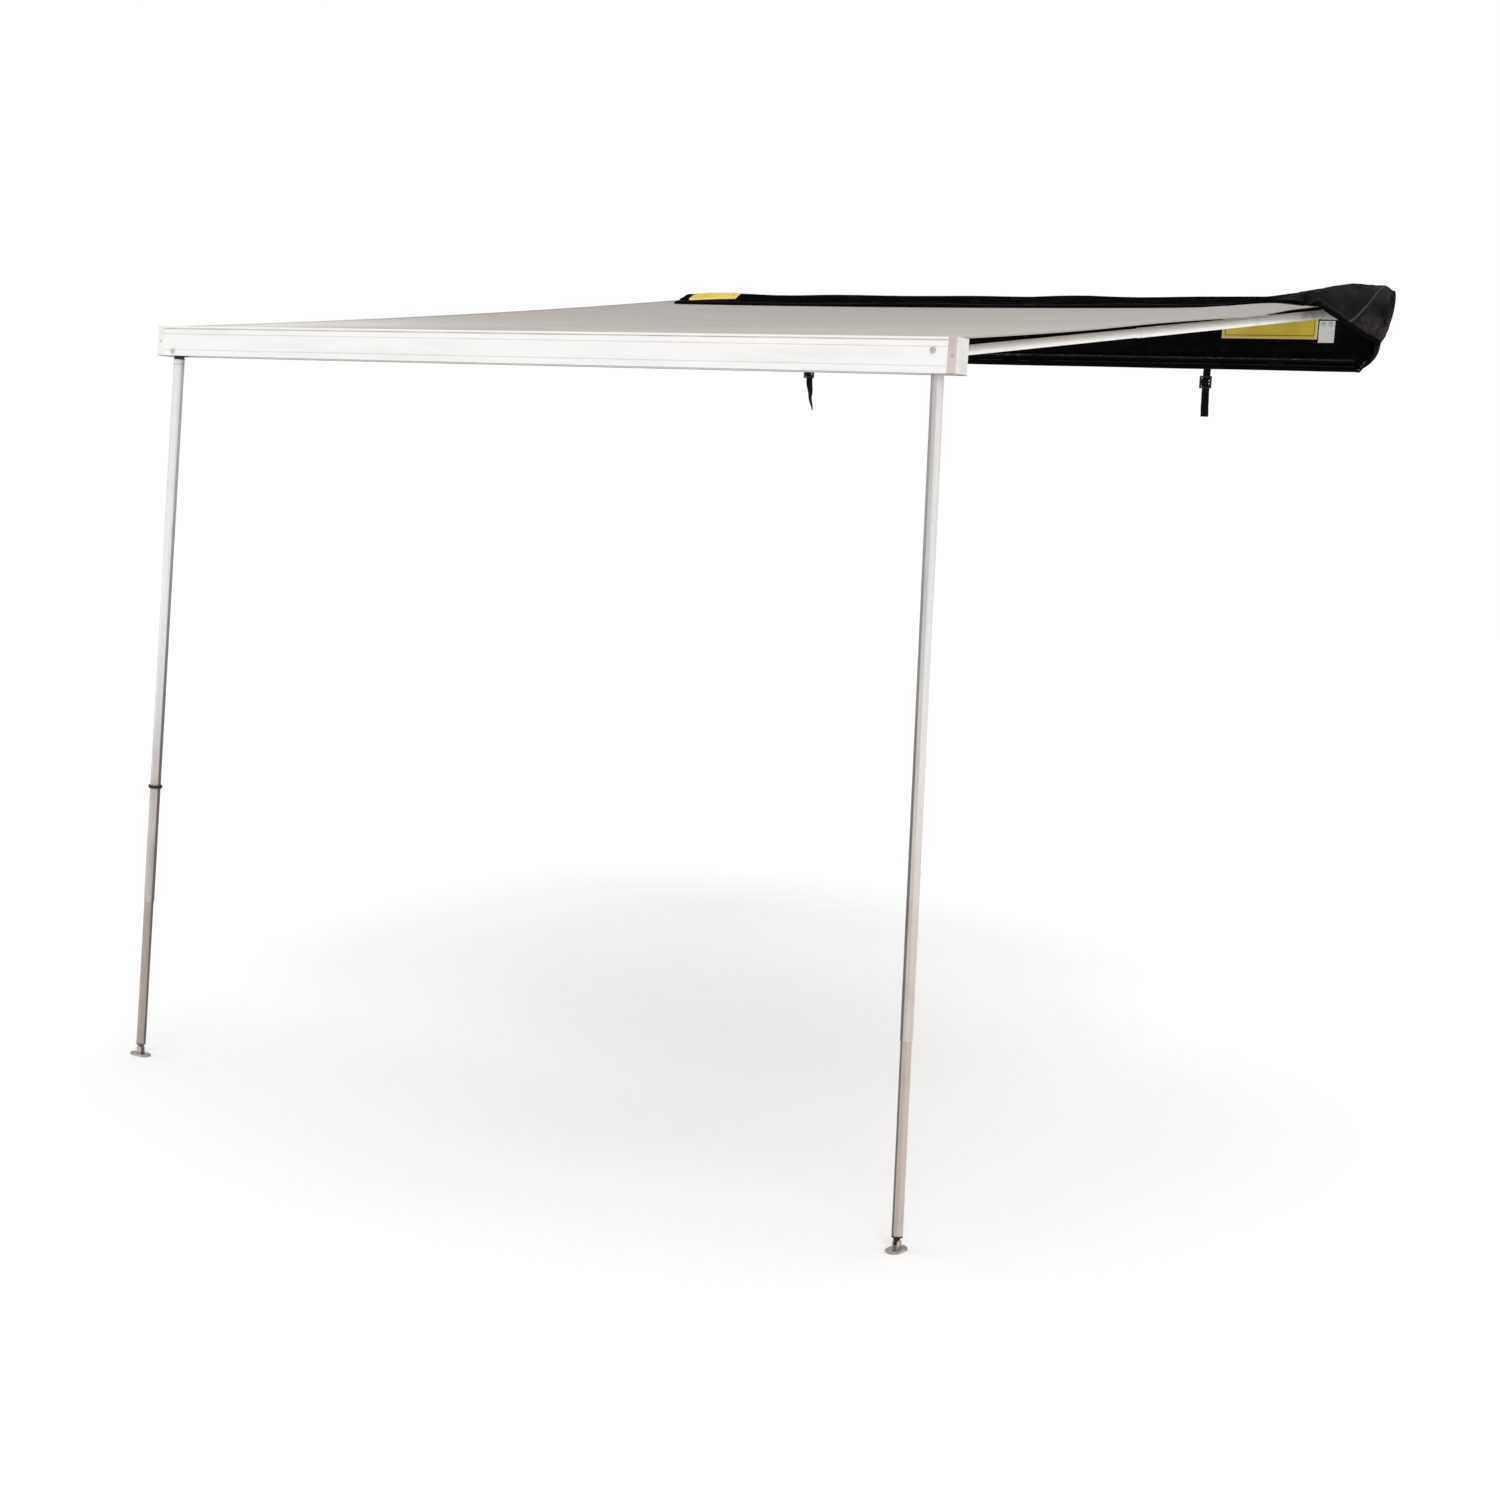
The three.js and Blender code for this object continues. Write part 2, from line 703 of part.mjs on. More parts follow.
// The saddle is a block on the beam's rear wall, with a slot for the peg that is open inboard
function buildSaddle(name, arm, place) {
  const peg = armEnd - pegReach;
  const inboard = -Math.sign(place);
  const blockStart = armEnd - saddleReach;
  const seat = block([-saddleWidth / 2, -armEnd + fitGap, -saddleHeight], [saddleWidth / 2, -blockStart, 0]);
  const slotHalf = pegRadius + pegClearance;
  const slotEnds = [-inboard * slotHalf, inboard * saddleWidth];
  const slot = block(
    [Math.min(...slotEnds), -peg - slotHalf, -saddleHeight - overrun],
    [Math.max(...slotEnds), -peg + slotHalf, overrun],
  );
  const turn = (geometry) => geometry.rotateX(canopySlope).translate(place, arm.position.y, arm.position.z);
  const wallHeight = arm.position.z - armEnd * Math.sin(canopySlope);
  const wall = beamRear + fitGap;
  const plate = block(
    [place - saddlePlateWidth / 2, wall, wallHeight - saddlePlateHeight / 2],
    [place + saddlePlateWidth / 2, wall + saddlePlate, wallHeight + saddlePlateHeight / 2],
  );
  const behindWall = block(
    [place - saddlePlateWidth, wall - beamDepth, wallHeight - beamHeight],
    [place + saddlePlateWidth, wall, wallHeight + beamHeight],
  );
  const tonguePath = block(
    [-saddleWidth, -peg - hookLead / 2 - runGap, 0],
    [saddleWidth, -blockStart, saddlePlateHeight],
  );
  const saddle = cut(cut(join(plate, turn(seat)), turn(slot), turn(tonguePath)), behindWall);
  addPiece(`arm_saddle_${name}`, saddle, "zinc_steel");
}

// The bracket on the rail, with two ears square to the pin
function buildBracket(name, arm, place, pinHeight) {
  const face = -railDepth - fitGap;
  const plate = block(
    [place - bracketWidth / 2, face - bracketPlate, pinHeight - bracketHeight / 2],
    [place + bracketWidth / 2, face, pinHeight + bracketHeight / 2],
  );
  const reach = armPinReach - railDepth - fitGap;
  const earAt = (low) => join(
    block([-bracketEarRadius, 0, low], [bracketEarRadius, reach, low + bracketEar]),
    rod("z", bracketEarRadius, low, low + bracketEar),
  ).rotateX(canopySlope).translate(place, arm.position.y, arm.position.z);
  const gap = armTongue / 2 + fitGap;
  const pinHole = rod("z", pinRadius + fitGap, -armTongue, armTongue)
    .rotateX(canopySlope).translate(place, arm.position.y, arm.position.z);
  const railSide = block(
    [place - bracketWidth, face, pinHeight - bracketHeight],
    [place + bracketWidth, overrun, pinHeight + bracketHeight],
  );
  const screwHole = (offset) => rod("y", screwRadius + fitGap, face - bracketPlate - overrun, face + overrun)
    .translate(place + offset, 0, pinHeight);
  const ears = join(earAt(gap), earAt(-gap - bracketEar));
  const bracket = cut(
    join(plate, ears),
    railSide,
    pinHole,
    screwHole(screwSpacing / 2),
    screwHole(-screwSpacing / 2),
  );
  addPiece(`arm_bracket_${name}`, bracket, "zinc_steel");

  for (const [which, offset] of [["inner", -screwSpacing / 2], ["outer", screwSpacing / 2]]) {
    const head = face - bracketPlate - fitGap;
    const screw = join(
      rod("y", screwHeadRadius, head - screwHeadHeight, head, 12),
      rod("y", screwRadius, head - screwHeadHeight / 2, -railDepth + screwLength, 12),
    ).translate(place + Math.sign(place) * offset, 0, pinHeight);
    addPiece(`bracket_screw_${name}_${which}`, screw, "zinc_steel");
  }

  const earTop = gap + bracketEar + fitGap;
  const pin = join(
    rod("z", pinRadius, -earTop - pinHeadHeight / 2, earTop + pinHeadHeight / 2, 16),
    rod("z", pinHeadRadius, earTop, earTop + pinHeadHeight, 16),
  );
  addPiece(`arm_hinge_pin_${name}`, pin, "zinc_steel", arm);
}

// Canopy

const canopyRear = -railDepth - fitGap;
const canopyFront = beamFront + beamGrooveInset;
const canopyLift = canopyThickness / 2 + fitGap;
const lipLift = (canopyThickness + bagThickness) / 2 + 2 * fitGap;
const bagLift = bagThickness / 2 + fitGap;

function canopyHeight(x, y) {
  const along = (canopyRear - y) / (canopyRear - canopyFront);
  const across = (2 * x) / awningWidth;
  const chord = THREE.MathUtils.lerp(canopyLine, beamTop + canopyLift, along);
  const sag = THREE.MathUtils.lerp(middleSag, edgeSag, Math.min(1, across * across));
  return chord - 4 * sag * along * (1 - along);
}

function buildCanopy() {
  const half = awningWidth / 2 - canopyInset;
  const up = new THREE.Vector3(0, -Math.sin(canopySlope), Math.cos(canopySlope));
  const place = (u, v) => {
    const x = THREE.MathUtils.lerp(-half, half, u);
    const y = THREE.MathUtils.lerp(canopyRear, canopyFront, v);
    return new THREE.Vector3(x, y, canopyHeight(x, y));
  };
  addPiece("canopy", sheet(14, 18, canopyThickness, place, () => up), "canopy_cloth");
}

// Bag

function smooth(value) {
  const t = THREE.MathUtils.clamp(value, 0, 1);
  return t * t * (3 - 2 * t);
}

// How far the hood has risen, drawn back and dropped at a place along the bag
function hoodRiseAt(x) {
  return hoodRise * smooth((x - bagRight + hoodRiseStart) / hoodRiseLength);
}

// Share of the way from the rail's right end to the bag's right end
function hoodPastEdge(x) {
  return THREE.MathUtils.clamp((x - awningWidth / 2) / bagOverhang, 0, 1);
}

function hoodReachAt(x) {
  const flare = hoodFlare * smooth((x - awningWidth / 2) / hoodFlareLength + 1);
  const right = 1 - Math.pow(1 - hoodPastEdge(x), hoodReachPowerShare);
  const left = smooth(1 - (x + bagLeft) / hoodLeftTurn);
  const reach = THREE.MathUtils.lerp(hoodReach + flare, hoodRightReach, right);
  return THREE.MathUtils.lerp(reach, hoodLeftReach, left);
}

// The corner hangs down steeply past the canopy's edge
function hoodDropAt(x) {
  return hoodCornerDrop * (1 - Math.pow(1 - hoodPastEdge(x), hoodDropPowerShare));
}

// Places along the hood, closer at the ends, with some of them kept for the hanging corner
function hoodPlaceAt(u) {
  const lying = u / (1 - hoodCornerShare);
  if (lying > 1) {
    return THREE.MathUtils.lerp(awningWidth / 2, bagRight, (lying - 1) / (1 / (1 - hoodCornerShare) - 1));
  }
  return THREE.MathUtils.lerp(-bagLeft, awningWidth / 2, (1 - Math.cos(Math.PI * lying)) / 2);
}

// The front edge stands open between the arm and the middle, where the hood begins to rise
function lipGapAt(x) {
  return lipGap * smooth(1 - Math.abs(x - awningWidth / 2 + lipGapInset) / lipGapReach);
}

// The rear edge lies on the rail and the front edge on the canopy
function hoodPoint(u, v) {
  const x = hoodPlaceAt(u);
  const reach = hoodReachAt(x);
  const y = THREE.MathUtils.lerp(-bagThickness, -reach, v);
  const rest = canopyHeight(Math.min(x, awningWidth / 2), -reach) + lipLift;
  const lip = rest + lipGapAt(x) - hoodDropAt(x);
  const bulge = (hoodCrown + hoodRiseAt(x)) * Math.sin(Math.PI * Math.pow(v, hoodCrownPowerShare));
  const fall = Math.pow(v, hoodFallPowerShare);
  return new THREE.Vector3(x, y, THREE.MathUtils.lerp(railTop + bagLift, lip, fall) + bulge);
}

function buildHood() {
  const step = 0.01;
  const side = (u, v) => {
    const forward = hoodPoint(u, Math.min(1, v + step)).sub(hoodPoint(u, Math.max(0, v - step)));
    const across = hoodPoint(Math.min(1, u + step), v).sub(hoodPoint(Math.max(0, u - step), v));
    return forward.cross(across).normalize();
  };
  addPiece("bag_hood", sheet(41, 10, bagThickness, hoodPoint, side), "bag_vinyl");
}

// The flap lies on the rail and hangs below it, with shallow folds that grow towards its hem
function flapPoint(x, z) {
  const down = THREE.MathUtils.clamp((railTop - railHeight - z) / (flapBottomDrop - railHeight), 0, 1);
  const fold = flapRipple * down * down * Math.sin((2 * Math.PI * x) / flapRippleLength);
  const front = -railDepth - fitGap - bagThickness / 2;
  return new THREE.Vector3(x, front - (flapLean + flapRipple) * down * down + fold, z);
}

const flapSide = new THREE.Vector3(0, -1, 0);

// The bag tapers at its right end, from the hood down to the flap's hem
function bagEndAt(z) {
  const top = railTop + bagLift;
  const down = THREE.MathUtils.clamp((top - z) / (top - flapBottom), 0, 1);
  return bagRight - flapRightInset * down * down;
}

function onFlap(thickness, layer, left, right, top, bottom, across, down) {
  const lift = bagThickness / 2 + fitGap + thickness / 2 + layer;
  const place = (u, v) => {
    const x = THREE.MathUtils.lerp(left, right, u);
    return flapPoint(x, THREE.MathUtils.lerp(top, bottom, v)).addScaledVector(flapSide, lift);
  };
  return sheet(across, down, thickness, place, () => flapSide);
}

function buildFlap() {
  const tops = [
    [-awningWidth / 2 + flapLeftNotch, railTop - flapLeftNotchDrop],
    [awningWidth / 2 - flapRightNotch, railTop - flapGrooveDrop + grooveMouth],
    [bagRight + overrun, railTop - flapRightNotchDrop],
  ];
  const place = (u, v) => {
    const rough = THREE.MathUtils.lerp(-bagLeft, bagRight, u);
    const [, top] = tops.find(([end]) => rough < end);
    const z = THREE.MathUtils.lerp(top, flapBottom, v);
    return flapPoint(THREE.MathUtils.lerp(-bagLeft, bagEndAt(z), u), z);
  };
  addPiece("bag_flap", sheet(50, 8, bagThickness, place, () => flapSide), "bag_vinyl");

  const labelTop = railTop - labelTopDrop;
  const label = onFlap(labelThickness, fitGap, labelLeft, labelRight, labelTop, labelTop - labelHeight, 8, 4);
  addPiece("label_panel", label, "label_yellow");
  const tagLeft = labelRight + tagGap;
  const tagTop = railTop - tagTopDrop;
  const tag = onFlap(labelThickness, fitGap, tagLeft, tagLeft + tagWidth, tagTop, tagTop - tagHeight, 3, 4);
  addPiece("eyelet_tag", tag, "tag_white");
  const zipTop = flapBottom + zipRise + zipHeight / 2;
  const zipEnd = bagEndAt(flapBottom) - canopyInset;
  const zip = onFlap(zipThickness, fitGap, -bagLeft + canopyInset, zipEnd, zipTop, zipTop - zipHeight, 30, 1);
  addPiece("flap_zip_tape", zip, "webbing_black");
}

// The gusset from the hood's right edge down to the end of the flap
function rightGusset(u, v) {
  const edge = hoodPoint(1, u);
  const z = THREE.MathUtils.lerp(edge.z, flapBottom, v);
  const slide = smooth(v);
  const front = -railDepth - flapLean - 2 * flapRipple;
  const y = THREE.MathUtils.lerp(edge.y, THREE.MathUtils.lerp(-railDepth / 2, front, u), slide);
  const belly = 2 * bagThickness * Math.sin(Math.PI * u) * Math.sin(Math.PI * v);
  const x = Math.max(bagEndAt(z), bagRight - flapRightInset * v * v);
  return new THREE.Vector3(x + bagLift + belly, y, z);
}

// The left gusset is folded back to a narrow strip against the end of the rail
function leftGusset(u, v) {
  const x = -awningWidth / 2 - bagLift;
  const y = THREE.MathUtils.lerp(-bagThickness, -railDepth - bagThickness, u);
  return new THREE.Vector3(x, y, THREE.MathUtils.lerp(railTop, flapBottom, v));
}

function buildBagEnds() {
  const outward = new THREE.Vector3(1, 0, 0);
  addPiece("bag_end_right", sheet(8, 10, bagThickness, rightGusset, () => outward), "bag_vinyl");
  addPiece("bag_end_left", sheet(2, 6, bagThickness, leftGusset, () => outward), "bag_vinyl");
}

// Straps that close the bag, hanging from the flap's hem with their buckles

function buildStrap(name, place, length) {
  const hem = flapPoint(place, flapBottom);
  const strap = new THREE.Group();
  strap.position.copy(hem);
  group.add(strap);
  const half = webbingThickness / 2;
  const webbing = block([-webbingWidth / 2, -half, -length], [webbingWidth / 2, half, -fitGap]);
  addPiece(`strap_webbing_${name}`, webbing, "webbing_black", strap);

  const front = -half - fitGap;
  const low = -buckleDrop - buckleHeight;
  const frame = block(
    [-buckleWidth / 2, front - buckleThickness, low],
    [buckleWidth / 2, front, -buckleDrop],
  );
  const windowHeight = (buckleHeight - 3 * buckleBar) / 2;
  const windowAt = (bottom) => block(
    [-buckleWidth / 2 + buckleBar, front - buckleThickness - overrun, bottom],
    [buckleWidth / 2 - buckleBar, front + overrun, bottom + windowHeight],
  );
  const buckle = cut(frame, windowAt(low + buckleBar), windowAt(low + 2 * buckleBar + windowHeight));
  addPiece(`strap_buckle_${name}`, buckle, "black_plastic", strap);
}

buildRail();
buildBeam();
buildLeg("right", 1, rightLegDrop, Math.PI / 2, false);
buildLeg("left", -1, leftLegDrop, 0, true);
buildArm("right", 1, rightArmDrop);
buildArm("left", -1, leftArmDrop);
buildCanopy();
buildHood();
buildFlap();
buildBagEnds();
buildStrap("right", rightStrapShare * awningWidth, rightStrapLength);
buildStrap("left", leftStrapShare * awningWidth, leftStrapLength);

export default group;
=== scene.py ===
"""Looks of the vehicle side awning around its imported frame. Metres, +Z up, the beam towards -Y."""
import math

import bpy
import numpy as np
from mathutils import Matrix, Vector


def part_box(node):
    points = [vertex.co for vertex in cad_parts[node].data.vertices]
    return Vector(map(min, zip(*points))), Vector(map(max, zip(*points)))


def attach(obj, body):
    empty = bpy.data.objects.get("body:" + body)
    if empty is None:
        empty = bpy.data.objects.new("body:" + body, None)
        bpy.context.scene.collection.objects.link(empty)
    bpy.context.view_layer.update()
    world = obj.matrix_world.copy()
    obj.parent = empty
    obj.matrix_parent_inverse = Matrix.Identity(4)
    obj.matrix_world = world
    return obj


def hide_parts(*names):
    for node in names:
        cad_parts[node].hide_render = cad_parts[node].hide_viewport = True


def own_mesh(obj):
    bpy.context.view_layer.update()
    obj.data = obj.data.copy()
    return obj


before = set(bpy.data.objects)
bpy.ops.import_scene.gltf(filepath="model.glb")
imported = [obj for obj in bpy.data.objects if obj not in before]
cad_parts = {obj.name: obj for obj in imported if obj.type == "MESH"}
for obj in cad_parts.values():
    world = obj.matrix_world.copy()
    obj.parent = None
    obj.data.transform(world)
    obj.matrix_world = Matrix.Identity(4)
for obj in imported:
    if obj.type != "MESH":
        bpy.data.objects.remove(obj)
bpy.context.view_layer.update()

# Sizes shared with the CAD part
WIDTH = 2.5
HALF = WIDTH / 2
RAIL_TOP = 0.046
RAIL_HEIGHT = 0.092
RAIL_DEPTH = 0.018
FIT_GAP = 0.0003
BEAM_TOP = -0.301468
GROUND = -2.341468
SLOPE = math.radians(7.9)
CANOPY_LINE = 0.036
CANOPY_REAR = -RAIL_DEPTH - FIT_GAP
CANOPY_FRONT = -2.457
CANOPY_THICK = 0.0015
CANOPY_HALF = HALF - 0.005
BAG_THICK = 0.0025
BAG_LIFT = BAG_THICK / 2 + FIT_GAP
BAG_RIGHT = HALF + 0.085
FLAP_BOTTOM = RAIL_TOP - 0.220
FLAP_INSET = 0.090
FLAP_GROOVE = RAIL_TOP - 0.026
HOOD_GROOVE = -0.005
BEAM_FOOT = BEAM_TOP - 0.0795
LEG_SPLAY = math.radians(1.5)
LEG_AXIS_X = 1.1804
LEG_AXIS_Y = -2.475

RAIL_BODY = "rail_and_bag"
BEAM_BODY = "front_beam"
BAG_STITCH = (0.0055, 0.0013, 0.0009)
UP = (0, 0, 1)
FRONT = (0, -1, 0)


# Small helpers on numpy arrays

def smooth(value):
    t = np.clip(value, 0, 1)
    return t * t * (3 - 2 * t)


def lerp(a, b, t):
    return a + (b - a) * t


def bell(value):
    return np.exp(-value * value)


def grid(a, b):
    return np.meshgrid(a, b, indexing="ij")


def shares(rows, columns):
    return grid(np.linspace(0, 1, rows), np.linspace(0, 1, columns))


def stacked(*parts):
    return np.stack(parts, axis=-1)


def repeated(direction, path):
    """One direction for every point of a path."""
    return np.tile(direction, (len(path), 1))


def unit(vectors):
    return vectors / np.maximum(np.linalg.norm(vectors, axis=-1, keepdims=True), 1e-12)


def run_along(path):
    """Distance along a path at each of its points."""
    return np.concatenate([[0], np.cumsum(np.linalg.norm(np.diff(path, axis=0), axis=1))])


def billow(a, b, seed, count, low, high):
    """Seeded sum of plane waves with wavelengths from low to high, from -1 to 1 or so."""
    draw = np.random.RandomState(seed)
    total = np.zeros_like(a)
    for _ in range(count):
        wave = 2 * math.pi / draw.uniform(low, high)
        angle = draw.uniform(0, math.pi)
        phase = draw.uniform(0, 2 * math.pi)
        total = total + np.sin(wave * (a * math.cos(angle) + b * math.sin(angle)) + phase)
    return total / math.sqrt(count)


def creases(a, b, seed, count, reach, width, lean=(0, math.pi), spans=None):
    """Seeded short ridges and valleys, each from -1 to 1, over the given spans or those of a and b."""
    draw = np.random.RandomState(seed)
    span_a, span_b = spans or ((a.min(), a.max()), (b.min(), b.max()))
    total = np.zeros_like(a)
    for _ in range(count):
        middle_a = draw.uniform(*span_a)
        middle_b = draw.uniform(*span_b)
        angle = draw.uniform(*lean)
        size = draw.uniform(0.6, 1.4)
        sign = draw.choice([-1, 1])
        along = (a - middle_a) * math.cos(angle) + (b - middle_b) * math.sin(angle)
        across = (b - middle_b) * math.cos(angle) - (a - middle_a) * math.sin(angle)
        bend = across - 0.8 * along * along / reach
        total = total + sign * bell(bend / (width * size)) * bell(along / (reach * size))
    return total


# Mesh builders

def make_object(name, points, faces, uvs=None, sharp=50.0):
    """A smooth-shaded object whose edges past an angle in degrees stay sharp."""
    mesh = bpy.data.meshes.new(name)
    mesh.from_pydata(np.asarray(points, float).tolist(), [], [list(f) for f in faces])
    mesh.validate()
    mesh.polygons.foreach_set("use_smooth", np.ones(len(mesh.polygons), bool))
    if uvs is not None:
        layer = mesh.uv_layers.new(name="UVMap")
        corner = np.zeros(len(mesh.loops), dtype=np.int32)
        mesh.loops.foreach_get("vertex_index", corner)
        layer.data.foreach_set("uv", np.asarray(uvs, np.float32)[corner].ravel())
    mesh.set_sharp_from_angle(angle=math.radians(sharp))
    mesh.update()
    obj = bpy.data.objects.new(name, mesh)
    bpy.context.scene.collection.objects.link(obj)
    return obj


def surface_normals(middle, outward):
    """Unit normals of a grid of points, turned to the side that outward points to."""
    normal = unit(np.cross(np.gradient(middle, axis=0), np.gradient(middle, axis=1)))
    return normal if (normal @ np.array(outward)).sum() > 0 else -normal


def grid_lengths(middle):
    """Distances along each way of a grid of points, which serve as UV in metres."""
    step_u = np.linalg.norm(np.diff(middle, axis=0), axis=2).mean(axis=1)
    step_v = np.linalg.norm(np.diff(middle, axis=1), axis=2).mean(axis=0)
    return np.concatenate([[0], np.cumsum(step_u)]), np.concatenate([[0], np.cumsum(step_v)])


def cloth(name, middle, thickness, outward):
    """A closed sheet of the given thickness around a grid of points."""
    rows, columns = middle.shape[:2]
    normal = surface_normals(middle, outward)
    half = normal * thickness / 2
    points = np.concatenate([middle + half, middle - half]).reshape(-1, 3)
    count = rows * columns
    index = np.arange(count).reshape(rows, columns)
    quads = stacked(index[:-1, :-1], index[1:, :-1], index[1:, 1:], index[:-1, 1:]).reshape(-1, 4)
    cross = np.cross(middle[1, 0] - middle[0, 0], middle[0, 1] - middle[0, 0])
    faces_front = quads if cross @ normal[0, 0] > 0 else quads[:, ::-1]
    faces_back = faces_front[:, ::-1] + count
    rim = np.concatenate([index[:, 0], index[-1, 1:], index[-2::-1, -1], index[0, -2:0:-1]])
    after = np.roll(rim, -1)
    side = stacked(rim, after, after + count, rim + count)
    if cross @ normal[0, 0] > 0:
        side = side[:, ::-1]
    flat = stacked(*grid(*grid_lengths(middle))).reshape(-1, 2)
    faces = np.concatenate([faces_front, faces_back, side])
    return make_object(name, points, faces, np.concatenate([flat, flat]))


def sweep(name, path, sides, ups, profile, sharp=40.0):
    """A closed bar with a profile of (side, up) points swept along a path."""
    ring = (
        path[:, None, :]
        + profile[None, :, :1] * sides[:, None, :]
        + profile[None, :, 1:] * ups[:, None, :]
    )
    steps, around = ring.shape[:2]
    index = np.arange(steps * around).reshape(steps, around)
    turned = np.roll(index, -1, axis=1)
    quads = stacked(index[:-1], turned[:-1], turned[1:], index[1:]).reshape(-1, 4)
    faces = quads.tolist() + [index[0][::-1].tolist(), index[-1].tolist()]
    uvs = stacked(*grid(run_along(path), run_along(profile))[::-1]).reshape(-1, 2)
    return make_object(name, ring.reshape(-1, 3), faces, uvs, sharp)


def round_section(radius):
    angle = np.linspace(0, 2 * math.pi, 12, endpoint=False)
    return radius * stacked(np.cos(angle), np.sin(angle))


def slab(width, height, bevel):
    """A flat strip's section with softened corners."""
    w, h, b = width / 2, height / 2, bevel
    return np.array([
        (w, b - h), (w, h - b), (w - b, h), (b - w, h),
        (-w, h - b), (-w, b - h), (b - w, -h), (w - b, -h),
    ])


def frames_on(path, up):
    """Side and up directions along a path, where up is given for each point."""
    tangent = unit(np.gradient(path, axis=0))
    up = unit(up - tangent * (up * tangent).sum(axis=1, keepdims=True))
    return np.cross(tangent, up), up


def beads(name, path, up, pitch, size):
    """A row of small rounded bars along a path: stitches or zip teeth. size is (along, side, up)."""
    run = run_along(path)
    places = np.arange(pitch / 2, run[-1], pitch)
    even, up_even = (
        stacked(*(np.interp(places, run, part[:, k]) for k in range(3))) for part in (path, up)
    )
    tangent = unit(np.gradient(even, axis=0))
    side, up_even = frames_on(even, up_even)
    shape, shape_faces = bead_shape()
    points = (
        even[:, None, :]
        + shape[None, :, :1] * size[0] * tangent[:, None, :]
        + shape[None, :, 1:2] * size[1] * side[:, None, :]
        + shape[None, :, 2:] * size[2] * up_even[:, None, :]
    )
    offset = (np.arange(len(even)) * len(shape))[:, None, None]
    faces = (shape_faces[None] + offset).reshape(-1, 4)
    return make_object(name, points.reshape(-1, 3), faces, None, 60.0)


def bead_shape():
    """A unit bar along X with six sides and narrowed ends."""
    points = [
        (place, math.cos(k * math.pi / 3) * swell / 2, math.sin(k * math.pi / 3) * swell / 2)
        for place, swell in ((-0.5, 0.45), (-0.3, 1.0), (0.3, 1.0), (0.5, 0.45)) for k in range(6)
    ]
    faces = []
    for first in (0, 6, 12):
        for k in range(6):
            a, b = first + k, first + (k + 1) % 6
            faces.append((a, b, b + 6, a + 6))
    caps = [(5, 4, 3, 2), (5, 2, 1, 0), (18, 19, 20, 21), (18, 21, 22, 23)]
    return np.array(points), np.array(faces + caps)


def ring_piece(name, centre, radius, wire):
    """A ring of flattened wire that faces the front."""
    turn, tube = (np.linspace(0, 2 * math.pi, count, endpoint=False) for count in (28, 10))
    spoke = stacked(np.cos(turn), np.zeros_like(turn), np.sin(turn))
    points = (
        centre
        + spoke[:, None, :] * (radius + wire * np.cos(tube))[None, :, None]
        + np.array(FRONT) * (wire * 0.6 * np.sin(tube))[None, :, None]
    )
    index = np.arange(len(turn) * len(tube)).reshape(len(turn), len(tube))
    ahead = np.roll(index, -1, 0)
    quads = stacked(index, ahead, np.roll(ahead, -1, 1), np.roll(index, -1, 1)).reshape(-1, 4)
    return make_object(name, points.reshape(-1, 3), quads, None, 60.0)


# Materials

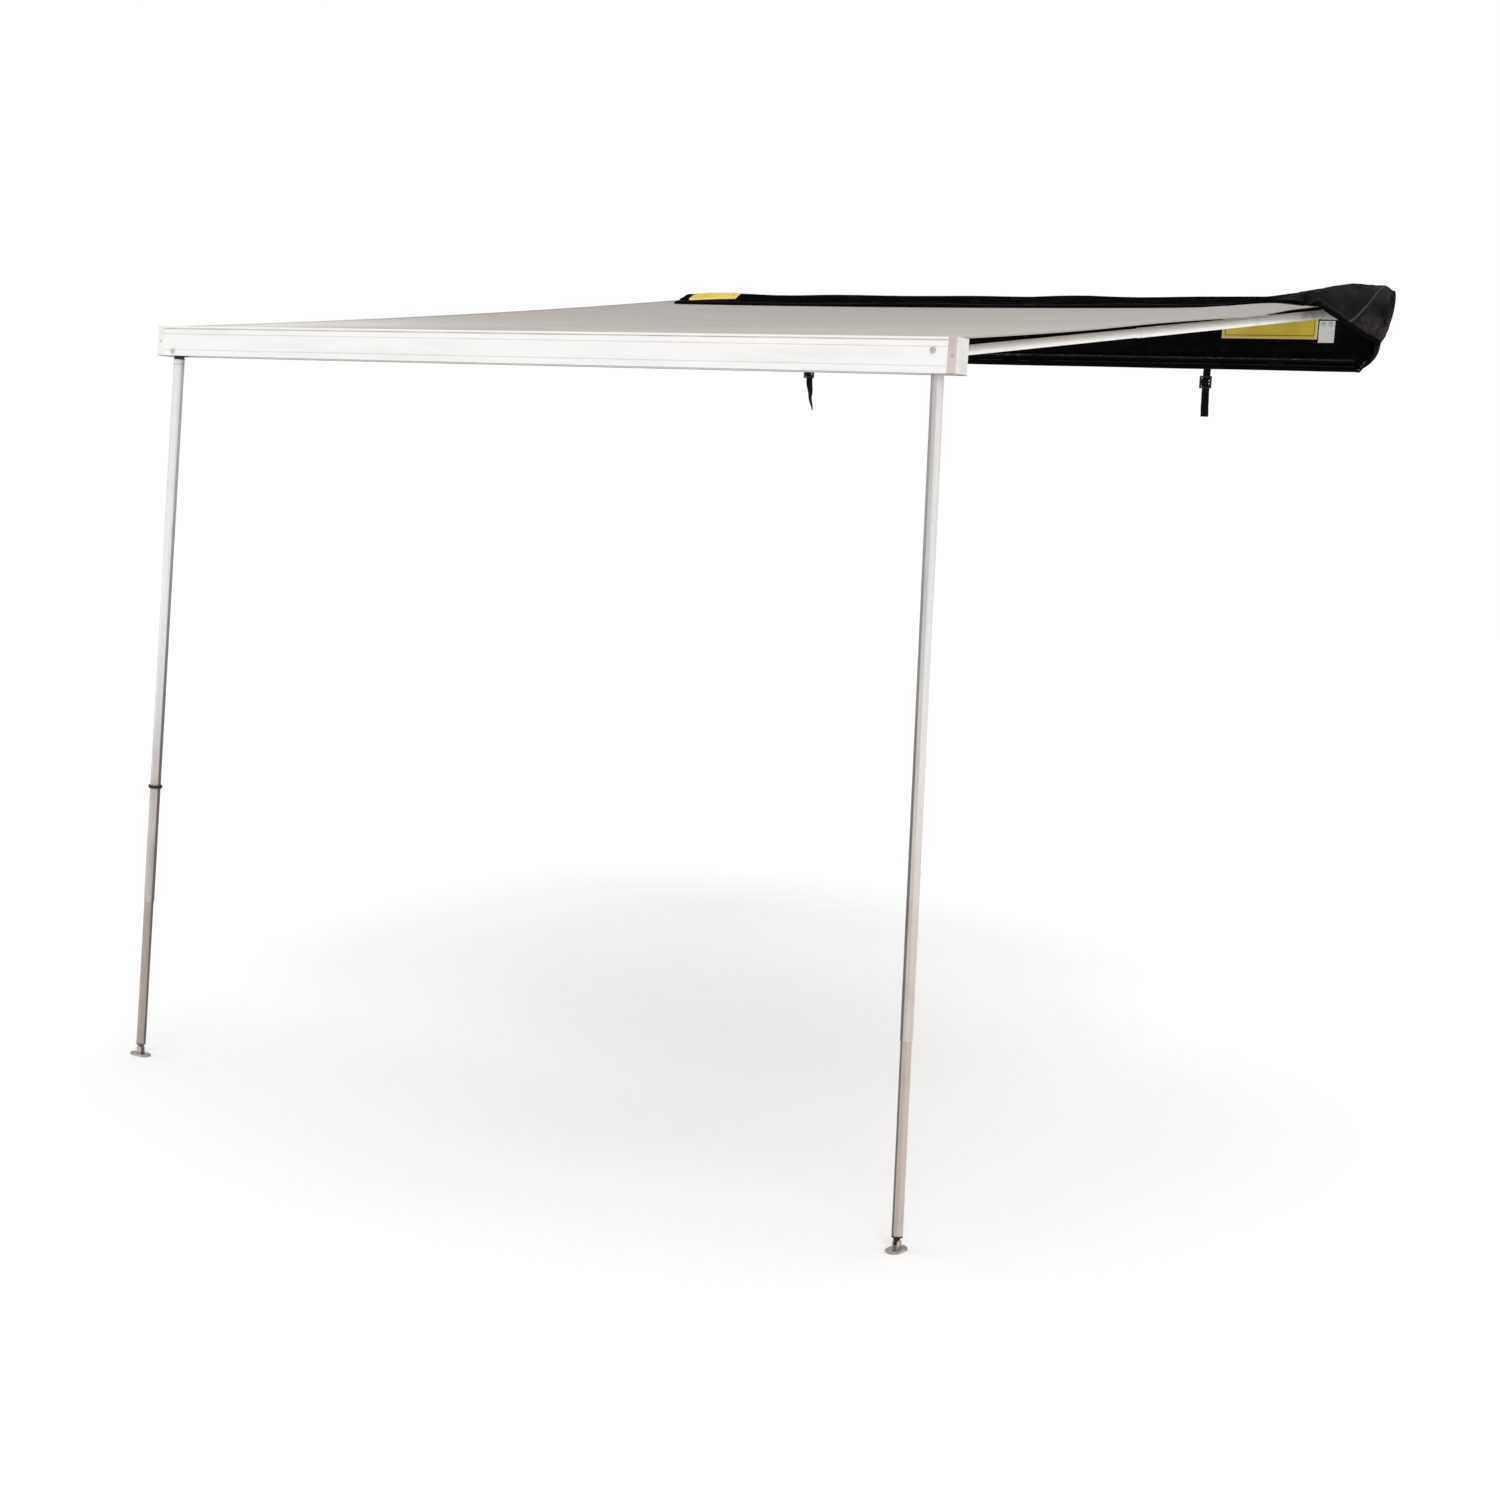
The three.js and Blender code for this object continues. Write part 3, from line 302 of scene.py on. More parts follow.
class Finish:
    """A node-based material, with short calls for the nodes that it needs."""

    def __init__(self, name, metallic=0.0, sheen=0.0, coat=0.0, level=0.5):
        self.material = bpy.data.materials.new(name)
        self.material.use_nodes = True
        self.tree = self.material.node_tree
        self.shader = self.tree.nodes["Principled BSDF"]
        self.fill(
            self.shader, Metallic=metallic, Sheen_Weight=sheen, Sheen_Roughness=0.4,
            Coat_Weight=coat, Specular_IOR_Level=level,
        )
        self.place = self.add("ShaderNodeTexCoord")

    def put(self, socket, value):
        if isinstance(value, bpy.types.NodeSocket):
            self.tree.links.new(value, socket)
        elif hasattr(value, "__len__") and len(value) == 3 and socket.type == "RGBA":
            socket.default_value = (*value, 1.0)
        else:
            socket.default_value = value

    def fill(self, node, **inputs):
        """Puts values or links into a node's inputs, named with _ for each space."""
        for key, value in inputs.items():
            self.put(node.inputs[key.replace("_", " ")], value)
        return node

    def add(self, kind, **inputs):
        return self.fill(self.tree.nodes.new(kind), **inputs)

    def mapped(self, scale=(1, 1, 1), source="Object", turn=(0, 0, 0)):
        return self.scaled(self.place.outputs[source], scale, turn)

    def scaled(self, vector, scale=(1, 1, 1), turn=(0, 0, 0)):
        return self.add("ShaderNodeMapping", Vector=vector, Scale=scale, Rotation=turn).outputs["Vector"]

    def axis(self, vector, name):
        return self.add("ShaderNodeSeparateXYZ", Vector=vector).outputs[name]

    def mirrored(self):
        """Object coordinates with the left side folded over onto the right."""
        split = self.add("ShaderNodeSeparateXYZ", Vector=self.place.outputs["Object"]).outputs
        folded = self.math("ABSOLUTE", split["X"])
        return self.add("ShaderNodeCombineXYZ", X=folded, Y=split["Y"], Z=split["Z"]).outputs["Vector"]

    def noise(self, vector, scale, detail=3.0, rough=0.5, twist=0.0):
        node = self.add(
            "ShaderNodeTexNoise", Vector=vector, Scale=scale, Detail=detail, Roughness=rough,
            Distortion=twist,
        )
        return node.outputs["Fac"]

    def waves(self, vector, period, direction="X"):
        """Sine bands that repeat after a length."""
        node = self.add("ShaderNodeTexWave", Vector=vector, Scale=2 * math.pi / period / 20)
        node.bands_direction = direction
        return node.outputs["Fac"]

    def math(self, kind, a, b=0.0, clamp=False):
        node = self.add("ShaderNodeMath")
        node.operation = kind
        node.use_clamp = clamp
        self.put(node.inputs[0], a)
        self.put(node.inputs[1], b)
        return node.outputs["Value"]

    def plus(self, a, b):
        return self.math("ADD", a, b)

    def minus(self, a, b):
        return self.math("SUBTRACT", a, b)

    def times(self, a, b):
        return self.math("MULTIPLY", a, b)

    def span(self, value, low, high, to_low=0.0, to_high=1.0):
        """Eases from one number to another as a value goes from low to high."""
        node = self.add(
            "ShaderNodeMapRange", Value=value, From_Min=low, From_Max=high,
            To_Min=to_low, To_Max=to_high,
        )
        node.interpolation_type = "SMOOTHSTEP"
        return node.outputs["Result"]

    def line(self, value, centre, half_width, edge):
        """One inside a band around a value, and zero past its soft edges."""
        away = self.math("ABSOLUTE", self.minus(value, centre))
        return self.span(away, half_width, half_width + edge, 1.0, 0.0)

    def mix(self, share, a, b):
        node = self.add("ShaderNodeMix")
        node.data_type = "RGBA"
        self.put(node.inputs[0], share)
        self.put(node.inputs[6], a)
        self.put(node.inputs[7], b)
        return node.outputs[2]

    def bump(self, height, distance, strength, over=None):
        node = self.add("ShaderNodeBump", Strength=strength, Distance=distance, Height=height)
        if over is not None:
            self.put(node.inputs["Normal"], over)
        return node.outputs["Normal"]

    def done(self, colour, roughness, normal):
        self.fill(self.shader, Base_Color=colour, Roughness=roughness, Normal=normal)
        return self.material


def weave(finish, vector, thread):
    """Height of a plain weave whose threads are that far apart."""
    return finish.math("MAXIMUM", finish.waves(vector, thread, "X"), finish.waves(vector, thread, "Y"))


# Painted shade lines on the beam's front, under its top lip and in its grooves: drop below its top, half
# width and strength
BEAM_SHADE_LINES = ((0.0066, 0.0011, 0.8), (0.0212, 0.0009, 0.28), (0.0632, 0.0009, 0.28))


def painted_finish():
    """Powder-coated extrusion, warm white, with faint grime along it, painted shade lines under its top
    lip and in its grooves, and a painted shadow along its bottom edge.
    """
    f = Finish("beam_white_paint", coat=0.15)
    plain = f.mapped()
    grime = f.span(f.noise(f.mapped((1.2, 9, 9)), 2.2, 5, 0.6), 0.45, 0.8)
    scuff = f.span(f.noise(f.mapped((22, 60, 60)), 3.0, 4, 0.65), 0.66, 0.74)
    tone = f.mix(grime, (0.86, 0.85, 0.83), (0.77, 0.76, 0.74))
    tone = f.mix(f.times(scuff, 0.3), tone, (0.55, 0.53, 0.50))
    height = f.axis(plain, "Z")
    patchy = f.span(f.noise(f.mapped((3, 20, 20)), 2.0, 4, 0.6), 0.3, 0.7, 0.55, 1.0)
    for drop, half_width, strength in BEAM_SHADE_LINES:
        # Painted shade along each line, patchy along the beam
        band = f.times(f.line(height, BEAM_TOP - drop, half_width, 0.0007), strength)
        tone = f.mix(f.times(band, patchy), tone, (0.26, 0.22, 0.20))
    # Painted shadow along the beam's bottom edge
    edge = f.span(height, BEAM_FOOT + 0.0013, BEAM_FOOT)
    tone = f.mix(f.times(edge, 0.75), tone, (0.13, 0.125, 0.12))
    peel = f.noise(plain, 900, 2)
    rough = f.span(grime, 0, 1, 0.34, 0.52)
    return f.done(tone, rough, f.bump(peel, 0.00012, 0.5))


def cap_finish():
    """Moulded plastic with a fine grain and patchy stains; painted light makes the end faces and the left
    cap cream, painted shade makes the right cap's front skirt mauve, and a painted shadow line runs along
    the bottom.
    """
    f = Finish("cap_plastic_grain")
    grain = f.noise(f.mapped(), 1400, 2)
    stain = f.span(f.noise(f.mapped((1, 1, 0.5)), 30, 5, 0.6), 0.4, 0.75)
    across = f.axis(f.mapped(), "X")
    # Painted shade: mauve for the right cap's front skirt. Painted light: cream for the end faces and the
    # left cap.
    mauve = f.mix(stain, (0.60, 0.525, 0.50), (0.49, 0.42, 0.39))
    cream = f.mix(stain, (0.83, 0.83, 0.79), (0.72, 0.71, 0.68))
    lit_end_face = f.span(f.math("ABSOLUTE", across), HALF - 0.0012, HALF - 0.0005)
    lit_left_cap = f.span(across, 0.5, -0.5)
    tone = f.mix(f.math("MAXIMUM", lit_end_face, lit_left_cap), mauve, cream)
    # Painted shadow line along the cap's bottom edge
    low = f.span(f.axis(f.mapped(), "Z"), BEAM_FOOT + 0.0020, BEAM_FOOT)
    tone = f.mix(f.times(low, 0.8), tone, (0.16, 0.14, 0.13))
    return f.done(tone, f.span(stain, 0, 1, 0.5, 0.68), f.bump(grain, 0.0002, 0.6))


def tube_finish(f, vector, along, tone_a, tone_b, dirt):
    """Drawn tube: streaks along its axis and oxide clouds. Gives its tone, roughness and normal."""
    stretch = {"Y": (1, 0.012, 1), "Z": (1, 1, 0.012)}[along]
    fine = f.noise(f.scaled(vector, tuple(c * 420 for c in stretch)), 1.0, 3, 0.6)
    wide = f.noise(f.scaled(vector, tuple(c * 120 for c in stretch)), 1.0, 3, 0.5)
    cloud = f.span(f.noise(f.scaled(vector, (9, 9, 9)), 1.0, 5, 0.6), 0.48, 0.72)
    tone = f.mix(f.span(wide, 0.3, 0.7), tone_a, tone_b)
    scratched = f.times(f.span(fine, 0.55, 0.75), 0.25)
    tone = f.mix(scratched, tone, tuple(c * 0.7 for c in tone_b))
    tone = f.mix(f.times(cloud, dirt), tone, (0.36, 0.32, 0.29))
    rough = f.span(f.plus(cloud, f.times(fine, 0.6)), 0.1, 1.2, 0.28, 0.5)
    return tone, rough, f.bump(fine, 0.00006, 0.4)


def leg_finish(name, tone_a, tone_b, dirt, brown_from, brown_to):
    """Leg tubes: browner towards the ground; painted shade on the right leg's left side, and a painted
    dark reflection on their inner side.

    The top of the left one has a painted shadow for the gap under the beam, and a dark collar line.
    """
    f = Finish(name, metallic=0.4)
    across, deep, height = (f.axis(f.mapped(), axis) for axis in "XYZ")
    vector = f.scaled(f.mirrored(), turn=(0, LEG_SPLAY, 0))
    tone, rough, normal = tube_finish(f, vector, "Z", tone_a, tone_b, dirt)
    down = f.axis(vector, "Z")
    outward = f.minus(f.axis(vector, "X"), LEG_AXIS_X)
    right = f.span(across, -0.5, 0.5)
    dust = f.mix(right, (0.30, 0.25, 0.225), (0.52, 0.44, 0.39))
    patchy = f.span(f.noise(f.scaled(vector, (60, 60, 4)), 1.0, 4, 0.6), 0.3, 0.7, 0.75, 1.0)
    tone = f.mix(f.times(f.span(down, brown_from, brown_to, 0.05, 0.85), patchy), tone, dust)

    # Painted shade on the right leg's left side
    shaded = f.times(f.span(outward, 0.0095, 0.0060), f.times(right, 0.5))
    tone = f.mix(f.times(shaded, patchy), tone, (0.30, 0.265, 0.245))
    # Painted dark reflection along each leg's inner side, stronger lower down
    turned = f.times(f.minus(deep, LEG_AXIS_Y), f.span(across, -0.5, 0.5, 0.6, -0.6))
    dark_reflection = f.span(f.minus(turned, f.times(outward, 0.8)), 0.0078, 0.0104)
    depth = f.span(down, -0.4, -1.5, 0.45, 0.90)
    tone = f.mix(f.times(dark_reflection, depth), tone, (0.085, 0.075, 0.068))

    # Painted shadow for the gap at the top of the left leg, with a dark collar line below it
    collar = f.times(f.line(height, BEAM_FOOT - 0.0215, 0.0007, 0.0006), 0.55)
    mouth = f.math("MAXIMUM", f.span(height, BEAM_FOOT - 0.0097, BEAM_FOOT - 0.0087), collar)
    tone = f.mix(f.times(mouth, f.minus(1.0, right)), tone, (0.035, 0.032, 0.030))
    return f.done(tone, rough, normal)


def arm_finish():
    """Arm tubes: smooth cream anodising with grey clouds near the bag and near the beam."""
    f = Finish("arm_cream_aluminium", metallic=0.35)
    vector = f.mapped(turn=(-SLOPE, 0, 0))
    run = f.axis(vector, "Y")
    tone, rough, normal = tube_finish(f, vector, "Y", (0.90, 0.885, 0.85), (0.83, 0.815, 0.78), 0.10)
    cloud = f.span(f.noise(f.scaled(vector, (16, 5, 16)), 1.0, 5, 0.6), 0.42, 0.6)
    tone = f.mix(f.times(cloud, f.span(run, -0.85, -0.50, 0.0, 0.65)), tone, (0.27, 0.25, 0.235))
    tone = f.mix(f.times(cloud, f.span(run, -2.15, -2.38, 0.0, 0.35)), tone, (0.25, 0.23, 0.21))
    return f.done(tone, rough, normal)


def rail_finish():
    """Mill-finished extrusion."""
    f = Finish("rail_mill_aluminium", metallic=0.8)
    vector = f.mapped(turn=(0, 0, math.pi / 2))
    return f.done(*tube_finish(f, vector, "Y", (0.72, 0.72, 0.71), (0.62, 0.62, 0.62), 0.25))


def plastic_finish(name, dark, light, grain=1500, level=0.5):
    """Moulded plastic with a fine grain and worn, paler patches."""
    f = Finish(name, level=level)
    worn = f.span(f.noise(f.mapped(), 60, 4, 0.6), 0.5, 0.75)
    normal = f.bump(f.noise(f.mapped(), grain, 2), 0.0002, 0.5)
    return f.done(f.mix(worn, dark, light), f.span(worn, 0, 1, 0.42, 0.6), normal)


def zinc_finish(name, light, dark):
    """Plated steel: crystal patches, fine pits and stains."""
    f = Finish(name, metallic=0.92)
    patch = f.add("ShaderNodeTexVoronoi", Vector=f.mapped(), Scale=140).outputs["Distance"]
    stain = f.span(f.noise(f.mapped(), 55, 5, 0.65), 0.42, 0.7)
    tone = f.mix(f.math("MULTIPLY", patch, 0.5, True), light, tuple(c * 0.8 for c in light))
    normal = f.bump(f.noise(f.mapped(), 1100, 3), 0.00012, 0.5)
    return f.done(f.mix(stain, tone, dark), f.span(stain, 0, 1, 0.28, 0.5), normal)


def canopy_finish():
    """Coated cloth, greyer at the rail and paler near the beam, with clouds, streaks and specks, and
    painted light that makes its left front paler.
    """
    f = Finish("canopy_coated_cloth", sheen=0.12, level=0.25)
    place = f.mapped()
    run = f.axis(place, "Y")
    tone = f.mix(f.span(run, -2.45, -0.3), (0.50, 0.455, 0.415), (0.34, 0.32, 0.298))
    cloud = f.span(f.noise(f.mapped((1.4, 2.6, 1.4)), 1.6, 6, 0.62), 0.38, 0.68)
    tone = f.mix(f.times(cloud, 0.35), tone, (0.40, 0.37, 0.34))
    streak = f.span(f.noise(f.mapped((0.7, 26, 1)), 1.3, 4, 0.6), 0.5, 0.74)
    tone = f.mix(f.times(streak, 0.22), tone, (0.68, 0.64, 0.60))
    speck = f.span(f.noise(f.mapped(), 95, 3, 0.7), 0.66, 0.74)
    tone = f.mix(f.times(speck, 0.3), tone, (0.24, 0.22, 0.20))
    # Painted light: the cloth's left front is paler
    left_front_light = f.times(f.span(f.axis(place, "X"), -0.5, -1.2), f.span(run, -1.4, -2.2))
    tone = f.mix(f.times(left_front_light, 0.65), tone, (0.80, 0.81, 0.75))
    threads = weave(f, place, 0.0009)
    normal = f.bump(threads, 0.00025, 0.5)
    normal = f.bump(f.noise(f.mapped((5, 16, 5)), 1.5, 4, 0.55), 0.0035, 0.35, normal)
    return f.done(tone, f.span(cloud, 0, 1, 0.62, 0.82), normal)


# Foot and lean of the pale crest line, a painted highlight on the hood's raised corner, in X and X per Z
CREST_FOOT = 1.2975
CREST_LEAN = 0.19


def vinyl_finish(name, dark, light, dust, level, corner=0.0):
    """Black coated bag cloth: a fine square weave, crinkles with paler crests (rubbed wear and painted
    sheen), pale dust, and wear low on its right end.

    corner is the strength of the painted light on the hood's raised corner: its charcoal tone and its pale
    crest line, a painted highlight.
    """
    f = Finish(name, level=level)
    place = f.mapped()
    across, height = f.axis(place, "X"), f.axis(place, "Z")
    crinkle = f.noise(place, 34, 6, 0.62, 0.35)
    # Paler on the crinkles' crests: rubbed wear and painted sheen
    rubbed_and_sheen = f.plus(f.times(crinkle, 0.7), f.times(f.noise(place, 150, 4, 0.6), 0.3))
    rubbed_and_sheen = f.span(rubbed_and_sheen, 0.5, 0.68)
    tone = f.mix(f.times(rubbed_and_sheen, 0.6), dark, light)
    powder = f.span(f.noise(f.mapped((5, 5, 9)), 1.7, 5, 0.65), 0.52, 0.78)
    tone = f.mix(f.times(powder, dust), tone, (0.20, 0.185, 0.165))
    if corner:
        # Painted light: a charcoal tone on the hood's raised corner, paler higher up
        broad = f.span(f.noise(f.mapped((9, 9, 14)), 1.0, 4, 0.6), 0.35, 0.65, 0.40, 1.0)
        raised = f.times(f.span(across, 1.03, 1.12, 0.0, corner), broad)
        raised = f.times(raised, f.span(height, 0.0, 0.065, 0.45, 1.0))
        tone = f.mix(raised, tone, (0.030, 0.030, 0.032))
        # Painted highlight: a pale line along the crest of the raised corner
        lean = f.minus(across, f.times(height, CREST_LEAN))
        crest = f.times(f.line(lean, CREST_FOOT, 0.0009, 0.0007), 0.5)
        tone = f.mix(crest, tone, (0.13, 0.12, 0.115))
    low_end = f.times(f.span(across, 1.292, 1.306), f.span(height, 0.005, -0.05, 0.1, 1.0))
    worn_end = f.times(low_end, f.span(crinkle, 0.40, 0.58, 0.2, 1.0))
    tone = f.mix(worn_end, tone, (0.042, 0.036, 0.033))
    normal = f.bump(weave(f, f.mapped(source="UV"), 0.0011), 0.0002, 0.45)
    normal = f.bump(crinkle, 0.006, 0.5, normal)
    return f.done(tone, f.span(rubbed_and_sheen, 0, 1, 0.62, 0.46), normal)


def label_finish(name, width, height, pale_right=False, level=0.35):
    """Ochre coated cloth with a pale margin and a dark border, faded and dirty. Its middle is bare."""
    f = Finish(name, level=level)
    flat = f.mapped(source="UV")
    across, down = f.axis(flat, "X"), f.axis(flat, "Y")
    edge_x = f.math("MINIMUM", across, f.minus(width, across))
    edge_y = f.math("MINIMUM", down, f.minus(height, down))
    edge = f.math("MINIMUM", edge_x, edge_y)
    fade = f.span(f.noise(f.mapped(), 11, 5, 0.6), 0.4, 0.7)
    tone = f.mix(fade, (0.68, 0.54, 0.055), (0.58, 0.45, 0.045))
    tone = f.mix(f.span(edge, 0.0045, 0.0065, 0.55, 0.0), tone, (0.80, 0.62, 0.22))
    if pale_right:
        strip = f.span(across, width - 0.0105, width - 0.0085)
        tone = f.mix(f.times(strip, 0.7), tone, (0.82, 0.68, 0.30))
    tone = f.mix(f.times(f.line(edge, 0.0105, 0.0008, 0.0010), 0.8), tone, (0.075, 0.05, 0.02))
    dirt = f.span(f.noise(f.mapped(), 60, 5, 0.7), 0.58, 0.75)
    tone = f.mix(f.times(dirt, 0.3), tone, (0.28, 0.19, 0.06))
    normal = f.bump(weave(f, flat, 0.0008), 0.00018, 0.5)
    return f.done(tone, f.span(fade, 0, 1, 0.45, 0.6), normal)


def tag_finish():
    """Pale coated tag with faint stains."""
    f = Finish("tag_pale_sheet", level=0.4)
    stain = f.span(f.noise(f.mapped(), 42, 5, 0.65), 0.5, 0.75)
    tone = f.mix(stain, (0.84, 0.85, 0.84), (0.60, 0.61, 0.59))
    return f.done(tone, 0.5, f.bump(weave(f, f.mapped(source="UV"), 0.001), 0.0002, 0.5))


def webbing_finish(name, dark, light, sheen=0.03, level=0.05):
    """Woven nylon tape: slanting threads across ribs, with patches of pale fuzz."""
    f = Finish(name, sheen=sheen, level=level)
    flat = f.mapped(source="UV")
    slanting = f.waves(f.mapped(source="UV", turn=(0, 0, math.radians(32))), 0.0016, "Y")
    height = f.plus(f.times(slanting, 0.6), f.times(f.waves(flat, 0.0026), 0.4))
    fuzz = f.span(f.noise(flat, 320, 4, 0.7), 0.5, 0.75)
    tone = f.mix(f.times(f.times(height, fuzz), 0.8), dark, light)
    return f.done(tone, 0.78, f.bump(height, 0.0005, 0.7))


def thread_finish(name, dark, light):
    """Twisted sewing thread or cord."""
    f = Finish(name, sheen=0.2, level=0.3)
    twist = f.waves(f.mapped(turn=(0.5, 0.3, 0.6)), 0.0012)
    return f.done(f.mix(twist, dark, light), 0.7, f.bump(twist, 0.0003, 0.6))


def rubber_finish():
    """Black rubber with a grey bloom."""
    f = Finish("ring_rubber", level=0.35)
    bloom = f.span(f.noise(f.mapped(), 90, 4, 0.65), 0.5, 0.76)
    tone = f.mix(bloom, (0.014, 0.014, 0.015), (0.06, 0.057, 0.054))
    return f.done(tone, 0.66, f.bump(f.noise(f.mapped(), 700, 3), 0.0003, 0.5))


def floor_finish():
    """Plain pale floor with faint clouds."""
    f = Finish("studio_floor", level=0.1)
    tone = f.mix(f.noise(f.mapped(), 0.6, 3), (0.97, 0.97, 0.97), (0.99, 0.99, 0.99))
    return f.done(tone, 0.9, f.bump(f.noise(f.mapped(), 40, 3), 0.001, 0.1))


PAINT = painted_finish()
CAP = cap_finish()
LEG_OUTER = leg_finish("leg_drawn_aluminium", (0.90, 0.90, 0.89), (0.80, 0.79, 0.78), 0.15, -0.9, -1.95)
LEG_INNER = leg_finish("leg_dusty_aluminium", (0.62, 0.58, 0.55), (0.52, 0.48, 0.45), 0.3, -1.2, -1.8)
ARM_TUBE = arm_finish()
RAIL_METAL = rail_finish()
LEG_PLUG = plastic_finish("leg_plug_worn", (0.10, 0.088, 0.08), (0.24, 0.21, 0.19))
BLACK_PLASTIC = plastic_finish(
    "moulded_black_plastic", (0.010, 0.010, 0.011), (0.036, 0.034, 0.033), level=0.25,
)
ZIP_TEETH = plastic_finish("zip_worn_teeth", (0.03, 0.03, 0.028), (0.17, 0.165, 0.14), 900, 0.2)
ZINC = zinc_finish("zinc_plated_steel", (0.68, 0.68, 0.67), (0.36, 0.34, 0.31))
FOOT = zinc_finish("foot_worn_steel", (0.52, 0.48, 0.45), (0.27, 0.225, 0.20))
CANOPY = canopy_finish()
VINYL = vinyl_finish("bag_black_vinyl", (0.0025, 0.0025, 0.0028), (0.012, 0.012, 0.013), 0.05, 0.0, 0.9)
VINYL_INSIDE = vinyl_finish("bag_inner_vinyl", (0.0015, 0.0015, 0.0016), (0.009, 0.008, 0.007), 0.04, 0.03)
VINYL_WORN = vinyl_finish("bag_worn_vinyl", (0.0035, 0.0035, 0.004), (0.026, 0.024, 0.022), 0.16, 0.05)
LABEL = label_finish("label_ochre_cloth", 0.31, 0.072, pale_right=True)
PATCH = label_finish("patch_ochre_cloth", 0.21, 0.18, level=0.03)
TAG = tag_finish()
WEBBING = webbing_finish("strap_black_webbing", (0.006, 0.006, 0.0065), (0.026, 0.025, 0.024))
TAPE = webbing_finish("zip_black_tape", (0.005, 0.005, 0.0055), (0.022, 0.021, 0.020), 0.0, 0.02)
BINDING = webbing_finish("bag_black_binding", (0.004, 0.004, 0.0045), (0.016, 0.015, 0.015), 0.0, 0.0)
THREAD_DARK = thread_finish("thread_black", (0.02, 0.02, 0.02), (0.075, 0.07, 0.065))
THREAD_PALE = thread_finish("thread_grey", (0.33, 0.31, 0.29), (0.55, 0.52, 0.49))
ROPE = thread_finish("keder_white_rope", (0.5, 0.49, 0.47), (0.74, 0.73, 0.70))
RUBBER = rubber_finish()

NODE_FINISH = {
    "white_paint": PAINT, "cap_plastic": CAP, "raw_aluminium": LEG_OUTER, "black_plastic": BLACK_PLASTIC,
    "zinc_steel": ZINC, "foot_steel": FOOT, "rubber_black": RUBBER, "keder_rope": ROPE,
}
for node_name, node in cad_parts.items():
    slot_name = node.data.materials[0].name.split(".")[0]
    finish = NODE_FINISH.get(slot_name)
    if node_name.startswith("leg_inner"):
        finish = LEG_INNER
    elif node_name.startswith("arm_") and "tube" in node_name:
        finish = ARM_TUBE
    elif node_name == "mounting_rail":
        finish = RAIL_METAL
    elif node_name == "leg_end_plug_left":
        finish = LEG_PLUG
    if finish is not None:
        for place in node.material_slots:
            place.material = finish


def finish_piece(obj, material, body=RAIL_BODY):
    obj.data.materials.append(material)
    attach(obj, body)
    return obj


# Canopy

def canopy_height(x, y):
    along = (CANOPY_REAR - y) / (CANOPY_REAR - CANOPY_FRONT)
    chord = lerp(CANOPY_LINE, BEAM_TOP + CANOPY_THICK / 2 + FIT_GAP, along)
    sag = lerp(0.030, 0.010, np.minimum(1, (x / HALF) ** 2))
    return chord - 4 * sag * along * (1 - along)


def canopy_wrinkles(x, y):
    """Cross folds near the bag and soft waves in the middle, none over the arms or under the hood."""
    free = smooth((1.08 - np.abs(x)) / 0.14) * smooth((-0.36 - y) / 0.12) * smooth((y + 2.44) / 0.15)
    from_bag = np.clip(-0.34 - y, 0, None)
    bend = 0.012 * np.sin(3.1 * x + 0.4) + 0.006 * np.sin(7.7 * x)
    cross = 0.0022 * np.exp(-from_bag / 0.55) * np.sin(2 * math.pi * (y + bend) / 0.085)
    cross = cross + 0.0014 * np.exp(-from_bag / 0.8) * np.sin(2 * math.pi * (y - 2 * bend) / 0.13 + 1.1)
    soft = 0.0028 * billow(x, y, 11, 7, 0.5, 1.3)
    lines = 0.0016 * creases(x, y, 5, 46, 0.16, 0.012, (-0.25, 0.25))
    return free * (cross + soft + lines)


def canopy_raise(x, y):
    """The cloth is lifted under the hood's right end, and its right edge waves."""
    near_bag = smooth((y + 0.86) / 0.30) * smooth(-y / 0.16)
    edge = smooth((x - 1.0) / 0.2)
    wave = 0.004 * bell((y + 1.45) / 0.35) - 0.003 * bell((y + 0.86) / 0.18)
    return 0.013 * bell((x - 1.09) / 0.16) * near_bag + edge * wave


def canopy_point(x, y):
    return stacked(x, y, canopy_height(x, y) + canopy_raise(x, y) + canopy_wrinkles(x, y))


def squash_canopy(obj):
    """Gives the piece its own copy of its mesh."""
    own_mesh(obj)


def build_canopy():
    x = np.linspace(-CANOPY_HALF, CANOPY_HALF, 151)
    y = np.linspace(CANOPY_REAR, CANOPY_FRONT, 221)
    sheet = cloth("canopy_cloth", canopy_point(*grid(x, y)), CANOPY_THICK, UP)
    finish_piece(sheet, CANOPY)
    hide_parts("canopy")
    trims = []
    for side, sign in (("right", 1), ("left", -1)):
        edge = np.linspace(CANOPY_HALF - 0.028, CANOPY_HALF - 0.0005, 5) * sign
        hem_y = np.linspace(CANOPY_REAR - 0.004, CANOPY_FRONT + 0.002, 160)
        middle = canopy_point(*grid(edge, hem_y))
        middle[:, :, 2] += CANOPY_THICK / 2 + 0.0005
        hem = cloth("canopy_hem_" + side, middle, 0.0009, UP)
        trims.append(finish_piece(hem, CANOPY))
        for row, inset in (("outer", 0.004), ("inner", 0.025)):
            seam_y = np.linspace(CANOPY_REAR - 0.006, CANOPY_FRONT + 0.006, 300)
            path = canopy_point(np.full_like(seam_y, (CANOPY_HALF - inset) * sign), seam_y)
            path[:, 2] += CANOPY_THICK / 2 + 0.0011
            ups = repeated((0, -math.sin(SLOPE), math.cos(SLOPE)), path)
            name = "canopy_stitch_%s_%s" % (side, row)
            seam = beads(name, path, ups, 0.009, (0.0062, 0.0011, 0.0007))
            trims.append(finish_piece(seam, THREAD_PALE))
    for piece in (sheet, *trims):
        squash_canopy(piece)


# Bag hood

